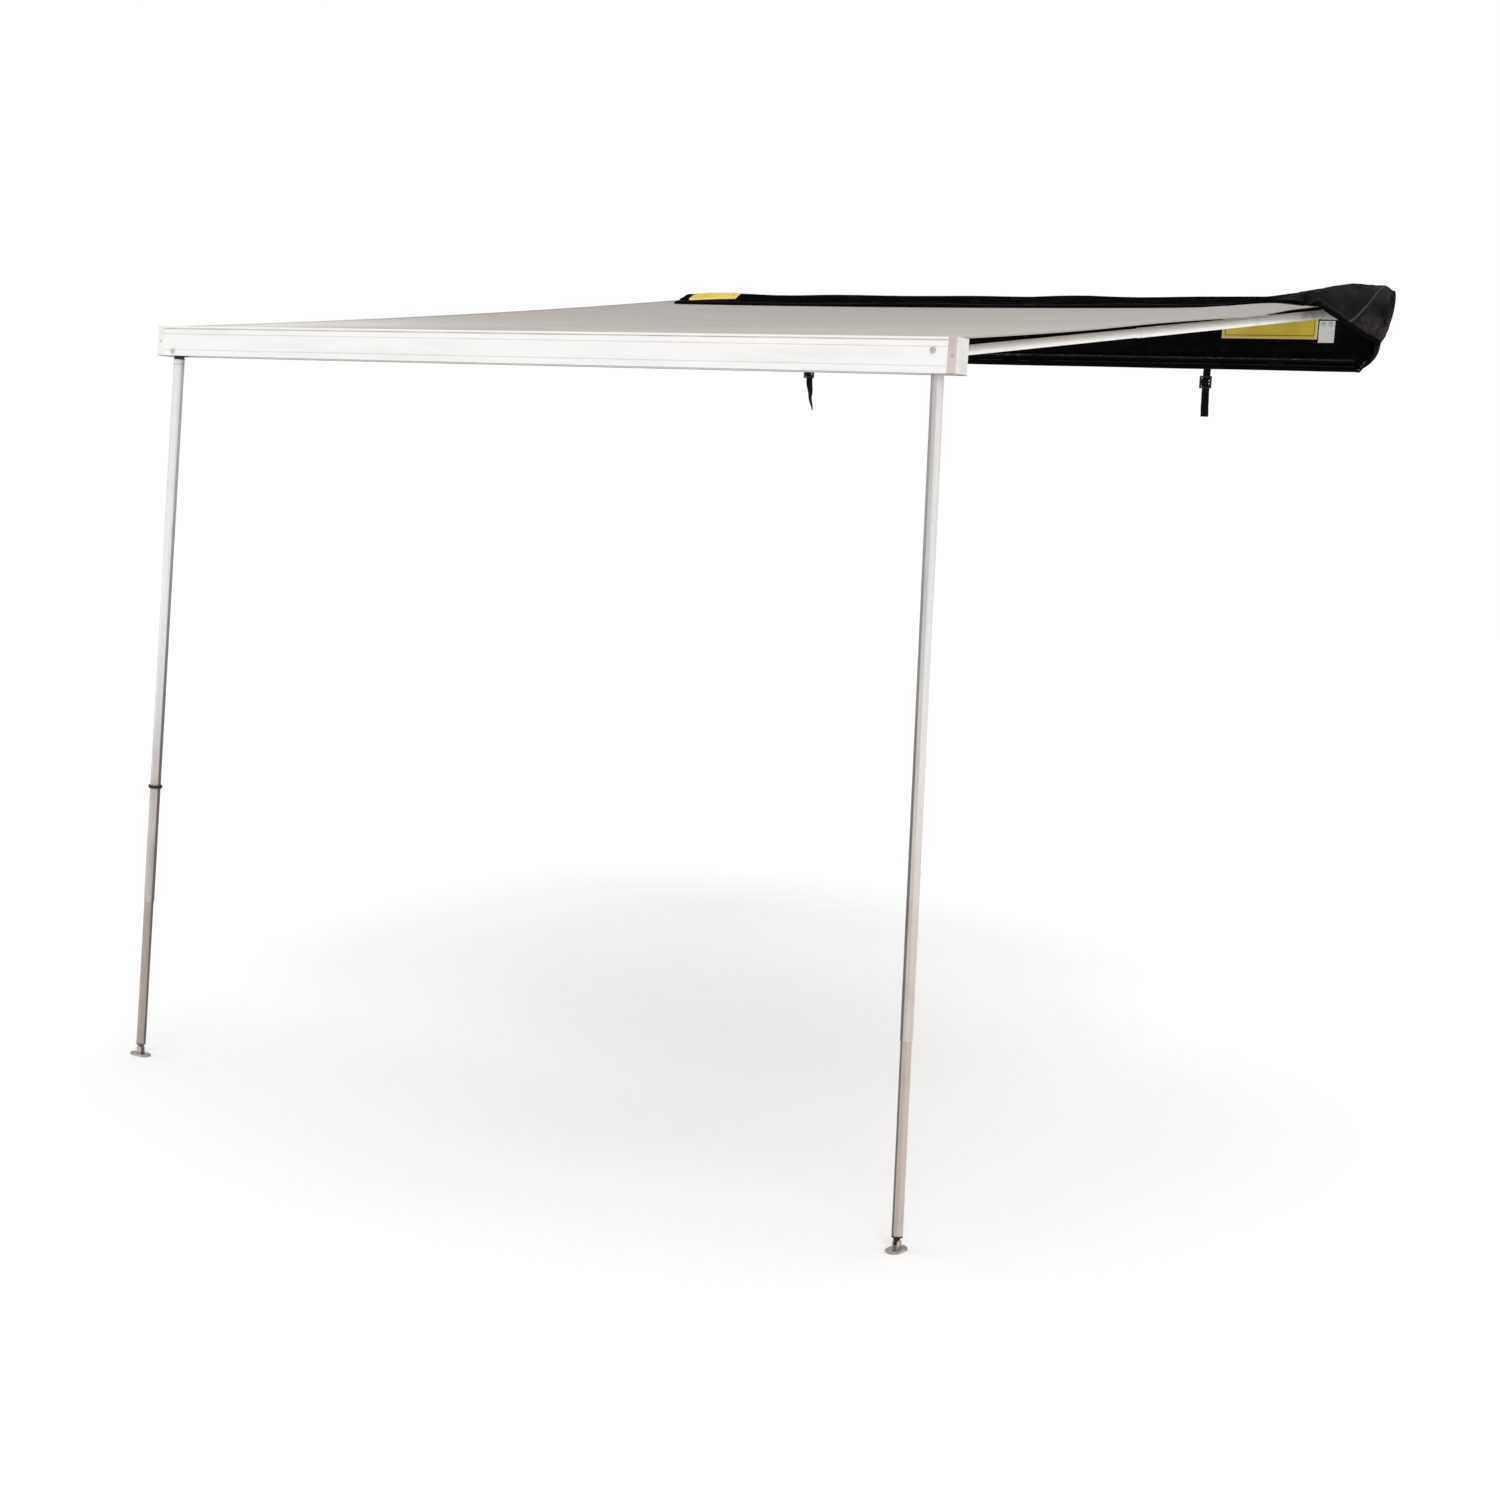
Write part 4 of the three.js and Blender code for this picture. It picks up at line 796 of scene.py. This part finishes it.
HOOD_REACH = 0.32
HOOD_FLARE = 0.10
HOOD_SPANS = ((-HALF, BAG_RIGHT), (0.0, HOOD_REACH + HOOD_FLARE))
LIP_CURVE = 1.6
BULGE_CURVE = 0.6
END_CURVE = 1.4


def past_edge(x):
    """How far a place lies past the rail's right end, from 0 to 1 at the bag's."""
    return np.clip((x - HALF) / (BAG_RIGHT - HALF), 0, 1)


def end_turn(x):
    return 1 - np.power(1 - past_edge(x), END_CURVE)


def hood_bulge(v):
    return np.sin(math.pi * np.power(v, BULGE_CURVE))


def hood_rise(x):
    return 0.002 + 0.060 * smooth((x - BAG_RIGHT + 0.40) / 0.54)


def hood_reach(x):
    flare = HOOD_FLARE * smooth((x - HALF) / 0.2 + 1)
    left = smooth(1 - (x + HALF) / 0.18)
    return lerp(lerp(HOOD_REACH + flare, 0.10, end_turn(x)), 0.07, left)


def hood_gap(x):
    return 0.018 * smooth(1 - np.abs(x - HALF + 0.16) / 0.25)


def hood_base(x, v):
    """The hood without waves and creases. v runs from the rail to the front lip."""
    reach = hood_reach(x)
    y = lerp(-BAG_THICK, -reach, v)
    held_x = np.minimum(x, HALF)
    rest = canopy_height(held_x, -reach) + (CANOPY_THICK + BAG_THICK) / 2 + 2 * FIT_GAP
    raised = canopy_raise(held_x, -reach)
    lip = rest + raised + np.maximum(0, hood_gap(x) - raised) - 0.12 * end_turn(x)
    rounded = 1 - 0.35 * smooth((past_edge(x) - 0.70) / 0.30)
    bulge = hood_rise(x) * rounded * hood_bulge(v)
    return stacked(x, y, lerp(RAIL_TOP + BAG_LIFT, lip, np.power(v, LIP_CURVE)) + bulge)


def hood_point(x, v):
    """The hood with its waves, its fold and its crumpled right corner, and its normals."""
    base = hood_base(x, v)
    step = 0.004
    along = hood_base(x, np.minimum(1, v + step)) - hood_base(x, np.maximum(0, v - step))
    across = hood_base(np.minimum(x + 0.002, BAG_RIGHT), v) - hood_base(x - 0.002, v)
    normal = unit(np.cross(along, across))
    reach = hood_reach(x)
    arc = v * reach
    held = smooth(v / 0.12) * smooth((1.0 - v) / 0.10)
    soft = 0.0016 * billow(x * 0.5, arc, 3, 8, 0.10, 0.34)
    lip_wave = 0.0026 * np.power(v, 4) * (1 + billow(x, arc, 8, 5, 0.25, 0.8))
    corner = smooth((x - 1.04) / 0.14) * lerp(0.35, 1.0, smooth((v - 0.30) / 0.2))
    left_end = smooth((-0.98 - x) / 0.14)
    left_lift = 0.006 * smooth((-0.70 - x) / 0.3) * hood_bulge(v)
    crumple = creases(x, arc, 21, 60, 0.055, 0.009, spans=HOOD_SPANS)
    crumple = 0.0036 * (corner + 0.15 * left_end) * crumple
    fine = 0.0012 * (0.3 + corner) * creases(x, arc, 34, 120, 0.045, 0.006, (0.2, 2.6), HOOD_SPANS)
    past_fold = x - lerp(0.90, 1.228, v)
    front = smooth((v - 0.50) / 0.25)
    fold = -0.012 * bell(past_fold / 0.013) + 0.009 * bell((past_fold - 0.040) / 0.030)
    ridge = 0.0042 * bell((x - lerp(1.313, 1.300, v)) / 0.0045) * smooth((v - 0.2) / 0.2)
    push = held * (soft + crumple + fine + ridge) + left_lift
    push = push + lip_wave * (1 - past_edge(x)) + fold * front
    return base + normal * push[..., None], normal


def build_hood():
    lying = lerp(-HALF, HALF, (1 - np.cos(math.pi * np.linspace(0, 1, 281))) / 2)
    x = np.concatenate([lying, np.linspace(HALF, BAG_RIGHT, 61)[1:]])
    middle, normal = hood_point(*grid(x, np.linspace(0, 1, 61)))
    hood = cloth("hood_cloth", middle, BAG_THICK, UP)
    finish_piece(hood, VINYL)
    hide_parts("bag_hood")
    lip, lip_up = middle[:, -1], normal[:, -1]
    section = slab(0.016, 0.0042, 0.001)
    binding = sweep("hood_binding", lip + lip_up * 0.0008, *frames_on(lip, lip_up), section)
    finish_piece(binding, BINDING)
    for label, row in (("rail", 4), ("lip", 56)):
        path = middle[:, row] + normal[:, row] * (BAG_THICK / 2 + 0.0003)
        seam = beads("hood_stitch_" + label, path, normal[:, row], 0.008, BAG_STITCH)
        finish_piece(seam, THREAD_DARK)
    line, line_up = middle[-1], normal[-1]
    section = round_section(0.00225)
    piping = sweep("hood_end_piping", line - line_up * 0.0015, *frames_on(line, line_up), section, 70)
    finish_piece(piping, VINYL_WORN)
    build_patch()


def build_patch():
    """The patch near the hood's left end, wider at its rear edge than at its front."""
    across, down = shares(90, 60)
    x = lerp(lerp(-1.215, -1.05, down), lerp(-0.965, -0.885, down), across)
    v = lerp(0.30, lerp(0.92, 0.80, across), down)
    middle, normal = hood_point(x, v)
    patch = cloth("hood_patch", middle + normal * (BAG_THICK / 2 + 0.0016), 0.0012, UP)
    finish_piece(patch, PATCH)


# Bag flap and what is on it

def flap_front(x, z):
    """Y of the flap's cloth: flat against the rail, wavy below it, calm behind the label and tag."""
    down = np.clip((RAIL_TOP - RAIL_HEIGHT - z) / (RAIL_TOP - FLAP_BOTTOM - RAIL_HEIGHT), 0, 1)
    fold = 0.005 * down * down * np.sin(2 * math.pi * x / 0.52)
    y = -RAIL_DEPTH - FIT_GAP - BAG_THICK / 2 - 0.015 * down * down + fold
    waves = 0.0022 * billow(x, z, 41, 7, 0.10, 0.32)
    waves = waves + 0.0020 * creases(x, z, 47, 90, 0.05, 0.010, (0.1, 1.3))
    calm = 1 - smooth((x - 0.76) / 0.03) * smooth((1.18 - x) / 0.03) * smooth((z + 0.105) / 0.02)
    return y - np.abs(waves) * smooth(down / 0.25) * calm * smooth((z - FLAP_BOTTOM) / 0.02)


def bag_end(z):
    """X of the bag's slanted right end at a height."""
    top = RAIL_TOP + BAG_LIFT
    down = np.clip((top - z) / (top - FLAP_BOTTOM), 0, 1)
    return BAG_RIGHT - FLAP_INSET * down * down


def flap_top(x):
    """Z of the flap's top edge, cut down under the arms' brackets."""
    middle = FLAP_GROOVE + 0.0028
    left = lerp(middle, -0.054, smooth((-1.050 - x) / 0.010))
    return lerp(left, -0.018, smooth((x - 1.112) / 0.012))


def flap_points(x, z):
    return stacked(x, flap_front(x, z), z)


def build_flap():
    columns = np.concatenate([
        np.linspace(-HALF, -1.064, 26), np.linspace(-1.060, -1.048, 7), np.linspace(-1.042, 1.108, 220),
        np.linspace(1.112, 1.126, 8), np.linspace(1.134, BAG_RIGHT, 30),
    ])
    grid_x, grid_v = grid(columns, np.linspace(0, 1, 61))
    z = lerp(flap_top(grid_x), FLAP_BOTTOM, grid_v)
    share = (grid_x + HALF) / (BAG_RIGHT + HALF)
    x = lerp(-HALF, bag_end(z), share)
    flap = cloth("flap_cloth", flap_points(x, z), BAG_THICK, FRONT)
    finish_piece(flap, VINYL_INSIDE)
    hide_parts("bag_flap")
    end = bag_end(FLAP_BOTTOM)
    hem_x = np.linspace(-HALF + 0.004, end - 0.004, 300)
    hem = flap_points(hem_x, np.full_like(hem_x, FLAP_BOTTOM + 0.006))
    section = slab(0.012, 0.0046, 0.001)
    binding = sweep("flap_binding", hem, *frames_on(hem, repeated(FRONT, hem)), section)
    finish_piece(binding, BINDING)
    seam_path = flap_points(hem_x, np.full_like(hem_x, FLAP_BOTTOM + 0.016))
    seam_path[:, 1] -= BAG_THICK / 2 + 0.0003
    seam = beads("flap_stitch", seam_path, repeated(FRONT, seam_path), 0.008, BAG_STITCH)
    finish_piece(seam, THREAD_DARK)
    build_zip(end)
    build_label()
    build_tag()


def build_on_flap(name, x, z, proud, thickness, material, node):
    """A sheet that follows the flap's front over a grid of x and z. Gives it and its middle points."""
    middle = flap_points(*grid(x, z))
    middle[:, :, 1] -= BAG_THICK / 2 + proud
    sheet = cloth(name, middle, thickness, FRONT)
    finish_piece(sheet, material)
    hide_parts(node)
    return sheet, middle


def build_zip(end):
    """Half a coil zip: its tape, and the row of teeth on it."""
    x = np.linspace(-HALF + 0.005, end - 0.005, 300)
    z = np.linspace(-0.136, -0.148, 5)
    tape, middle = build_on_flap(
        "zip_tape", x, z, FIT_GAP + 0.0010, 0.0010, TAPE, "flap_zip_tape",
    )
    path = middle[:, 1] + np.array([0, -0.0013, 0])
    teeth = beads("zip_teeth", path, repeated(FRONT, path), 0.0032, (0.0019, 0.0062, 0.0018))
    finish_piece(teeth, ZIP_TEETH)


def build_label():
    """The blank label inside the bag, sewn along its top and bottom."""
    x = np.linspace(HALF - 0.45, HALF - 0.14, 60)
    z = np.linspace(-0.005, -0.077, 16)
    label, middle = build_on_flap(
        "label_cloth", x, z, FIT_GAP * 2 + 0.0006, 0.0011, LABEL, "label_panel",
    )
    for place, row in (("top", 1), ("bottom", -2)):
        path = middle[2:-2, row] + np.array([0, -0.0008, 0])
        size = (0.0042, 0.0009, 0.0006)
        seam = beads("label_stitch_" + place, path, repeated(FRONT, path), 0.006, size)
        finish_piece(seam, THREAD_PALE)


def build_tag():
    """The blank tag beside the label, with two metal eyelets and a slight curl."""
    left, top = HALF - 0.136, -0.021
    x = np.linspace(left, left + 0.050, 12)
    z = np.linspace(top, top - 0.066, 14)
    curl = 0.001 * np.sin((z - top) * 70) ** 2
    tag, _ = build_on_flap(
        "tag_sheet", x, z, FIT_GAP * 2 + 0.0006 + curl, 0.0011, TAG, "eyelet_tag",
    )
    for name, place in (("left", 0.012), ("right", 0.036)):
        centre = flap_points(np.array(left + place), np.array(top - 0.011))
        centre = centre + np.array([0, -BAG_THICK / 2 - 0.0022, 0])
        ring = ring_piece("tag_eyelet_" + name, centre, 0.0052, 0.0017)
        finish_piece(ring, ZINC)


# Bag ends

def right_gusset(u, v):
    """The crumpled end sheet, from the hood's end line at v = 0 down to the flap's corner at v = 1."""
    edge, _ = hood_point(np.full_like(u, BAG_RIGHT), u)
    z = lerp(edge[..., 2], FLAP_BOTTOM, v)
    front = -RAIL_DEPTH - 0.020
    y = lerp(edge[..., 1], lerp(-RAIL_DEPTH / 2, front, u), smooth(v))
    belly = 0.005 * np.sin(math.pi * u) * np.sin(math.pi * v)
    x = np.maximum(bag_end(z), BAG_RIGHT - FLAP_INSET * v * v)
    held = smooth(u / 0.12) * smooth((1 - u) / 0.12) * smooth(v / 0.08) * smooth((1 - v) / 0.08)
    crumple = 0.0040 * creases(y, z, 61, 34, 0.05, 0.010) + 0.0016 * creases(y, z, 67, 70, 0.03, 0.005)
    x = x + BAG_LIFT + belly + held * np.clip(crumple, -0.006, 0.006)
    return stacked(x, y, z)


def build_bag_ends():
    gusset = cloth("gusset_right", right_gusset(*shares(60, 90)), BAG_THICK, (1, 0, 0))
    finish_piece(gusset, VINYL_WORN)
    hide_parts("bag_end_right")

    u, v = shares(12, 60)
    y = lerp(-BAG_THICK, -RAIL_DEPTH - BAG_THICK, u)
    z = lerp(RAIL_TOP, FLAP_BOTTOM, v)
    bulge = 0.004 * np.sin(math.pi * u) * (0.5 + 0.5 * np.sin(17 * v + 0.7) ** 2)
    x = -HALF - BAG_LIFT - bulge * smooth(v / 0.1)
    strip = cloth("gusset_left", stacked(x, y, z), BAG_THICK, (-1, 0, 0))
    finish_piece(strip, VINYL_WORN)
    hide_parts("bag_end_left")


# Straps

STRAP_TOP = 0.014


def strap_path(x, length, curl, twist):
    """Behind the buckle's upper bar, over its middle bar, behind its lower bar, then a loose tail."""
    hem = flap_points(np.array(x), np.array(FLAP_BOTTOM))
    heights = (-length, -0.0545, -0.0448, -0.0372, -0.0275, -0.022, STRAP_TOP)
    depths = (0.0, 0.0, -0.0100, -0.0100, 0.0002, 0.0, 0.0)
    z = np.linspace(STRAP_TOP, -length, 110)
    y = hem[1] + np.interp(z, heights, depths)
    y = np.where(z > -0.002, hem[1] + BAG_THICK / 2 + 0.0012, y)
    tail = smooth((-0.062 - z) / (length - 0.062))
    side = x + curl * tail * (1.5 + 0.35 * np.sin(2.2 * math.pi * tail))
    path = stacked(side, y - 0.35 * abs(curl) * tail, hem[2] + z)
    angle = twist * tail
    return path, stacked(np.sin(angle), -np.cos(angle), np.zeros_like(angle))


def build_strap(name, x, length, curl, twist):
    path, up = strap_path(x, length, curl, twist)
    section = slab(0.025, 0.0015, 0.0004)
    strap = sweep("webbing_" + name, path, *frames_on(path, up), section, 35)
    finish_piece(strap, WEBBING)
    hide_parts("strap_webbing_" + name)


# Keder ropes in the grooves

KEDER_RADIUS = 0.0027
KEDER_WEB = 0.0012
GROOVE_COVER = 0.0045


def build_keder(node, mouth, facing_up, body=RAIL_BODY):
    """A cord in the hem of a cloth, with the doubled cloth that leads out of its groove's mouth."""
    low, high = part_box(node)
    start = math.asin(KEDER_WEB / 2 / KEDER_RADIUS)
    angle = np.linspace(start, 2 * math.pi - start, 30)
    out = np.concatenate([[0], KEDER_RADIUS * np.cos(angle) - GROOVE_COVER, [0]])
    across = np.concatenate([[KEDER_WEB / 2], KEDER_RADIUS * np.sin(angle), [-KEDER_WEB / 2]])
    x = np.linspace(low[0] + 0.001, high[0] - 0.001, 400)
    path = stacked(x, np.full_like(x, mouth[0]), np.full_like(x, mouth[1]))
    sides = repeated((0, 1, 0) if facing_up else (0, 0, -1), path)
    ups = repeated(UP if facing_up else FRONT, path)
    rope = sweep(node + "_cord", path, sides, ups, stacked(across, out), 50)
    finish_piece(rope, ROPE, body)
    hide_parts(node)


build_canopy()
build_hood()
build_flap()
build_bag_ends()
build_strap("right", 0.306 * WIDTH, 0.148, 0.002, 0.15)
build_strap("left", -0.282 * WIDTH, 0.170, 0.013, -0.9)
build_keder("canopy_rear_keder", (-RAIL_DEPTH, CANOPY_LINE), False)
build_keder("flap_keder", (-RAIL_DEPTH, FLAP_GROOVE), False)
build_keder("hood_keder", (HOOD_GROOVE, RAIL_TOP), True)
build_keder("canopy_front_keder", (CANOPY_FRONT, BEAM_TOP), True, BEAM_BODY)


# Studio

def build_studio():
    """A pale floor, a white surround that lights a little less than it shows, and three soft suns."""
    corners = [(-40, -40), (40, -40), (40, 40), (-40, 40)]
    points = [(x, y, GROUND) for x, y in corners]
    floor = make_object("studio_floor", points, [(0, 1, 2, 3)], [(x + 40, y + 40) for x, y in corners])
    floor.data.materials.append(floor_finish())

    world = bpy.data.worlds.new("studio")
    bpy.context.scene.world = world
    world.use_nodes = True
    tree = world.node_tree
    tree.nodes.clear()
    output, seen, unseen, place, split, ramp, path, either = (
        tree.nodes.new(kind) for kind in (
            "ShaderNodeOutputWorld", "ShaderNodeBackground", "ShaderNodeBackground", "ShaderNodeTexCoord",
            "ShaderNodeSeparateXYZ", "ShaderNodeValToRGB", "ShaderNodeLightPath", "ShaderNodeMixShader",
        )
    )
    seen.inputs["Color"].default_value = (1, 1, 1, 1)
    unseen.inputs["Strength"].default_value = 0.75
    below, above = ramp.color_ramp.elements
    below.color = (0.62, 0.61, 0.60, 1)
    above.color = (1, 1, 1, 1)
    above.position = 0.6
    for source, target in (
        (place.outputs["Generated"], split.inputs["Vector"]),
        (split.outputs["Z"], ramp.inputs["Fac"]),
        (ramp.outputs["Color"], unseen.inputs["Color"]),
        (path.outputs["Is Camera Ray"], either.inputs["Fac"]),
        (unseen.outputs["Background"], either.inputs[1]),
        (seen.outputs["Background"], either.inputs[2]),
        (either.outputs["Shader"], output.inputs["Surface"]),
    ):
        tree.links.new(source, target)

    for name, toward, softness, power in (
        ("key", (-0.45, 0.62, -0.70), 35, 0.95),
        ("fill", (0.75, 0.55, -0.35), 60, 0.35),
        ("top", (0.05, -0.25, -1.0), 60, 0.55),
    ):
        light = bpy.data.lights.new(name, "SUN")
        light.angle = math.radians(softness)
        light.energy = power
        holder = bpy.data.objects.new(name, light)
        holder.rotation_euler = Vector(toward).to_track_quat("-Z", "Y").to_euler()
        bpy.context.scene.collection.objects.link(holder)


def build_camera():
    """The camera fitted to the photograph: where it stands, and its yaw, pitch and roll in degrees."""
    stand = (3.80009, -7.05450, -0.70110)
    yaw, pitch, roll = (math.radians(a) for a in (33.56408, 5.75391, 3.59826))
    level = math.cos(pitch)
    ahead = Vector((-math.sin(yaw) * level, math.cos(yaw) * level, -math.sin(pitch)))
    right = ahead.cross(Vector(UP)).normalized()
    up = right.cross(ahead)
    turned_right = right * math.cos(roll) + up * math.sin(roll)
    turned_up = up * math.cos(roll) - right * math.sin(roll)
    camera = bpy.data.cameras.new("camera")
    camera.sensor_width = 36
    camera.lens = 57.06
    camera.clip_end = 200
    holder = bpy.data.objects.new("camera", camera)
    turn = Matrix((turned_right, turned_up, -ahead)).transposed()
    holder.matrix_world = Matrix.Translation(stand) @ turn.to_4x4()
    bpy.context.scene.collection.objects.link(holder)
    bpy.context.scene.camera = holder


build_studio()
build_camera()
bpy.context.scene.view_settings.view_transform = "Standard"
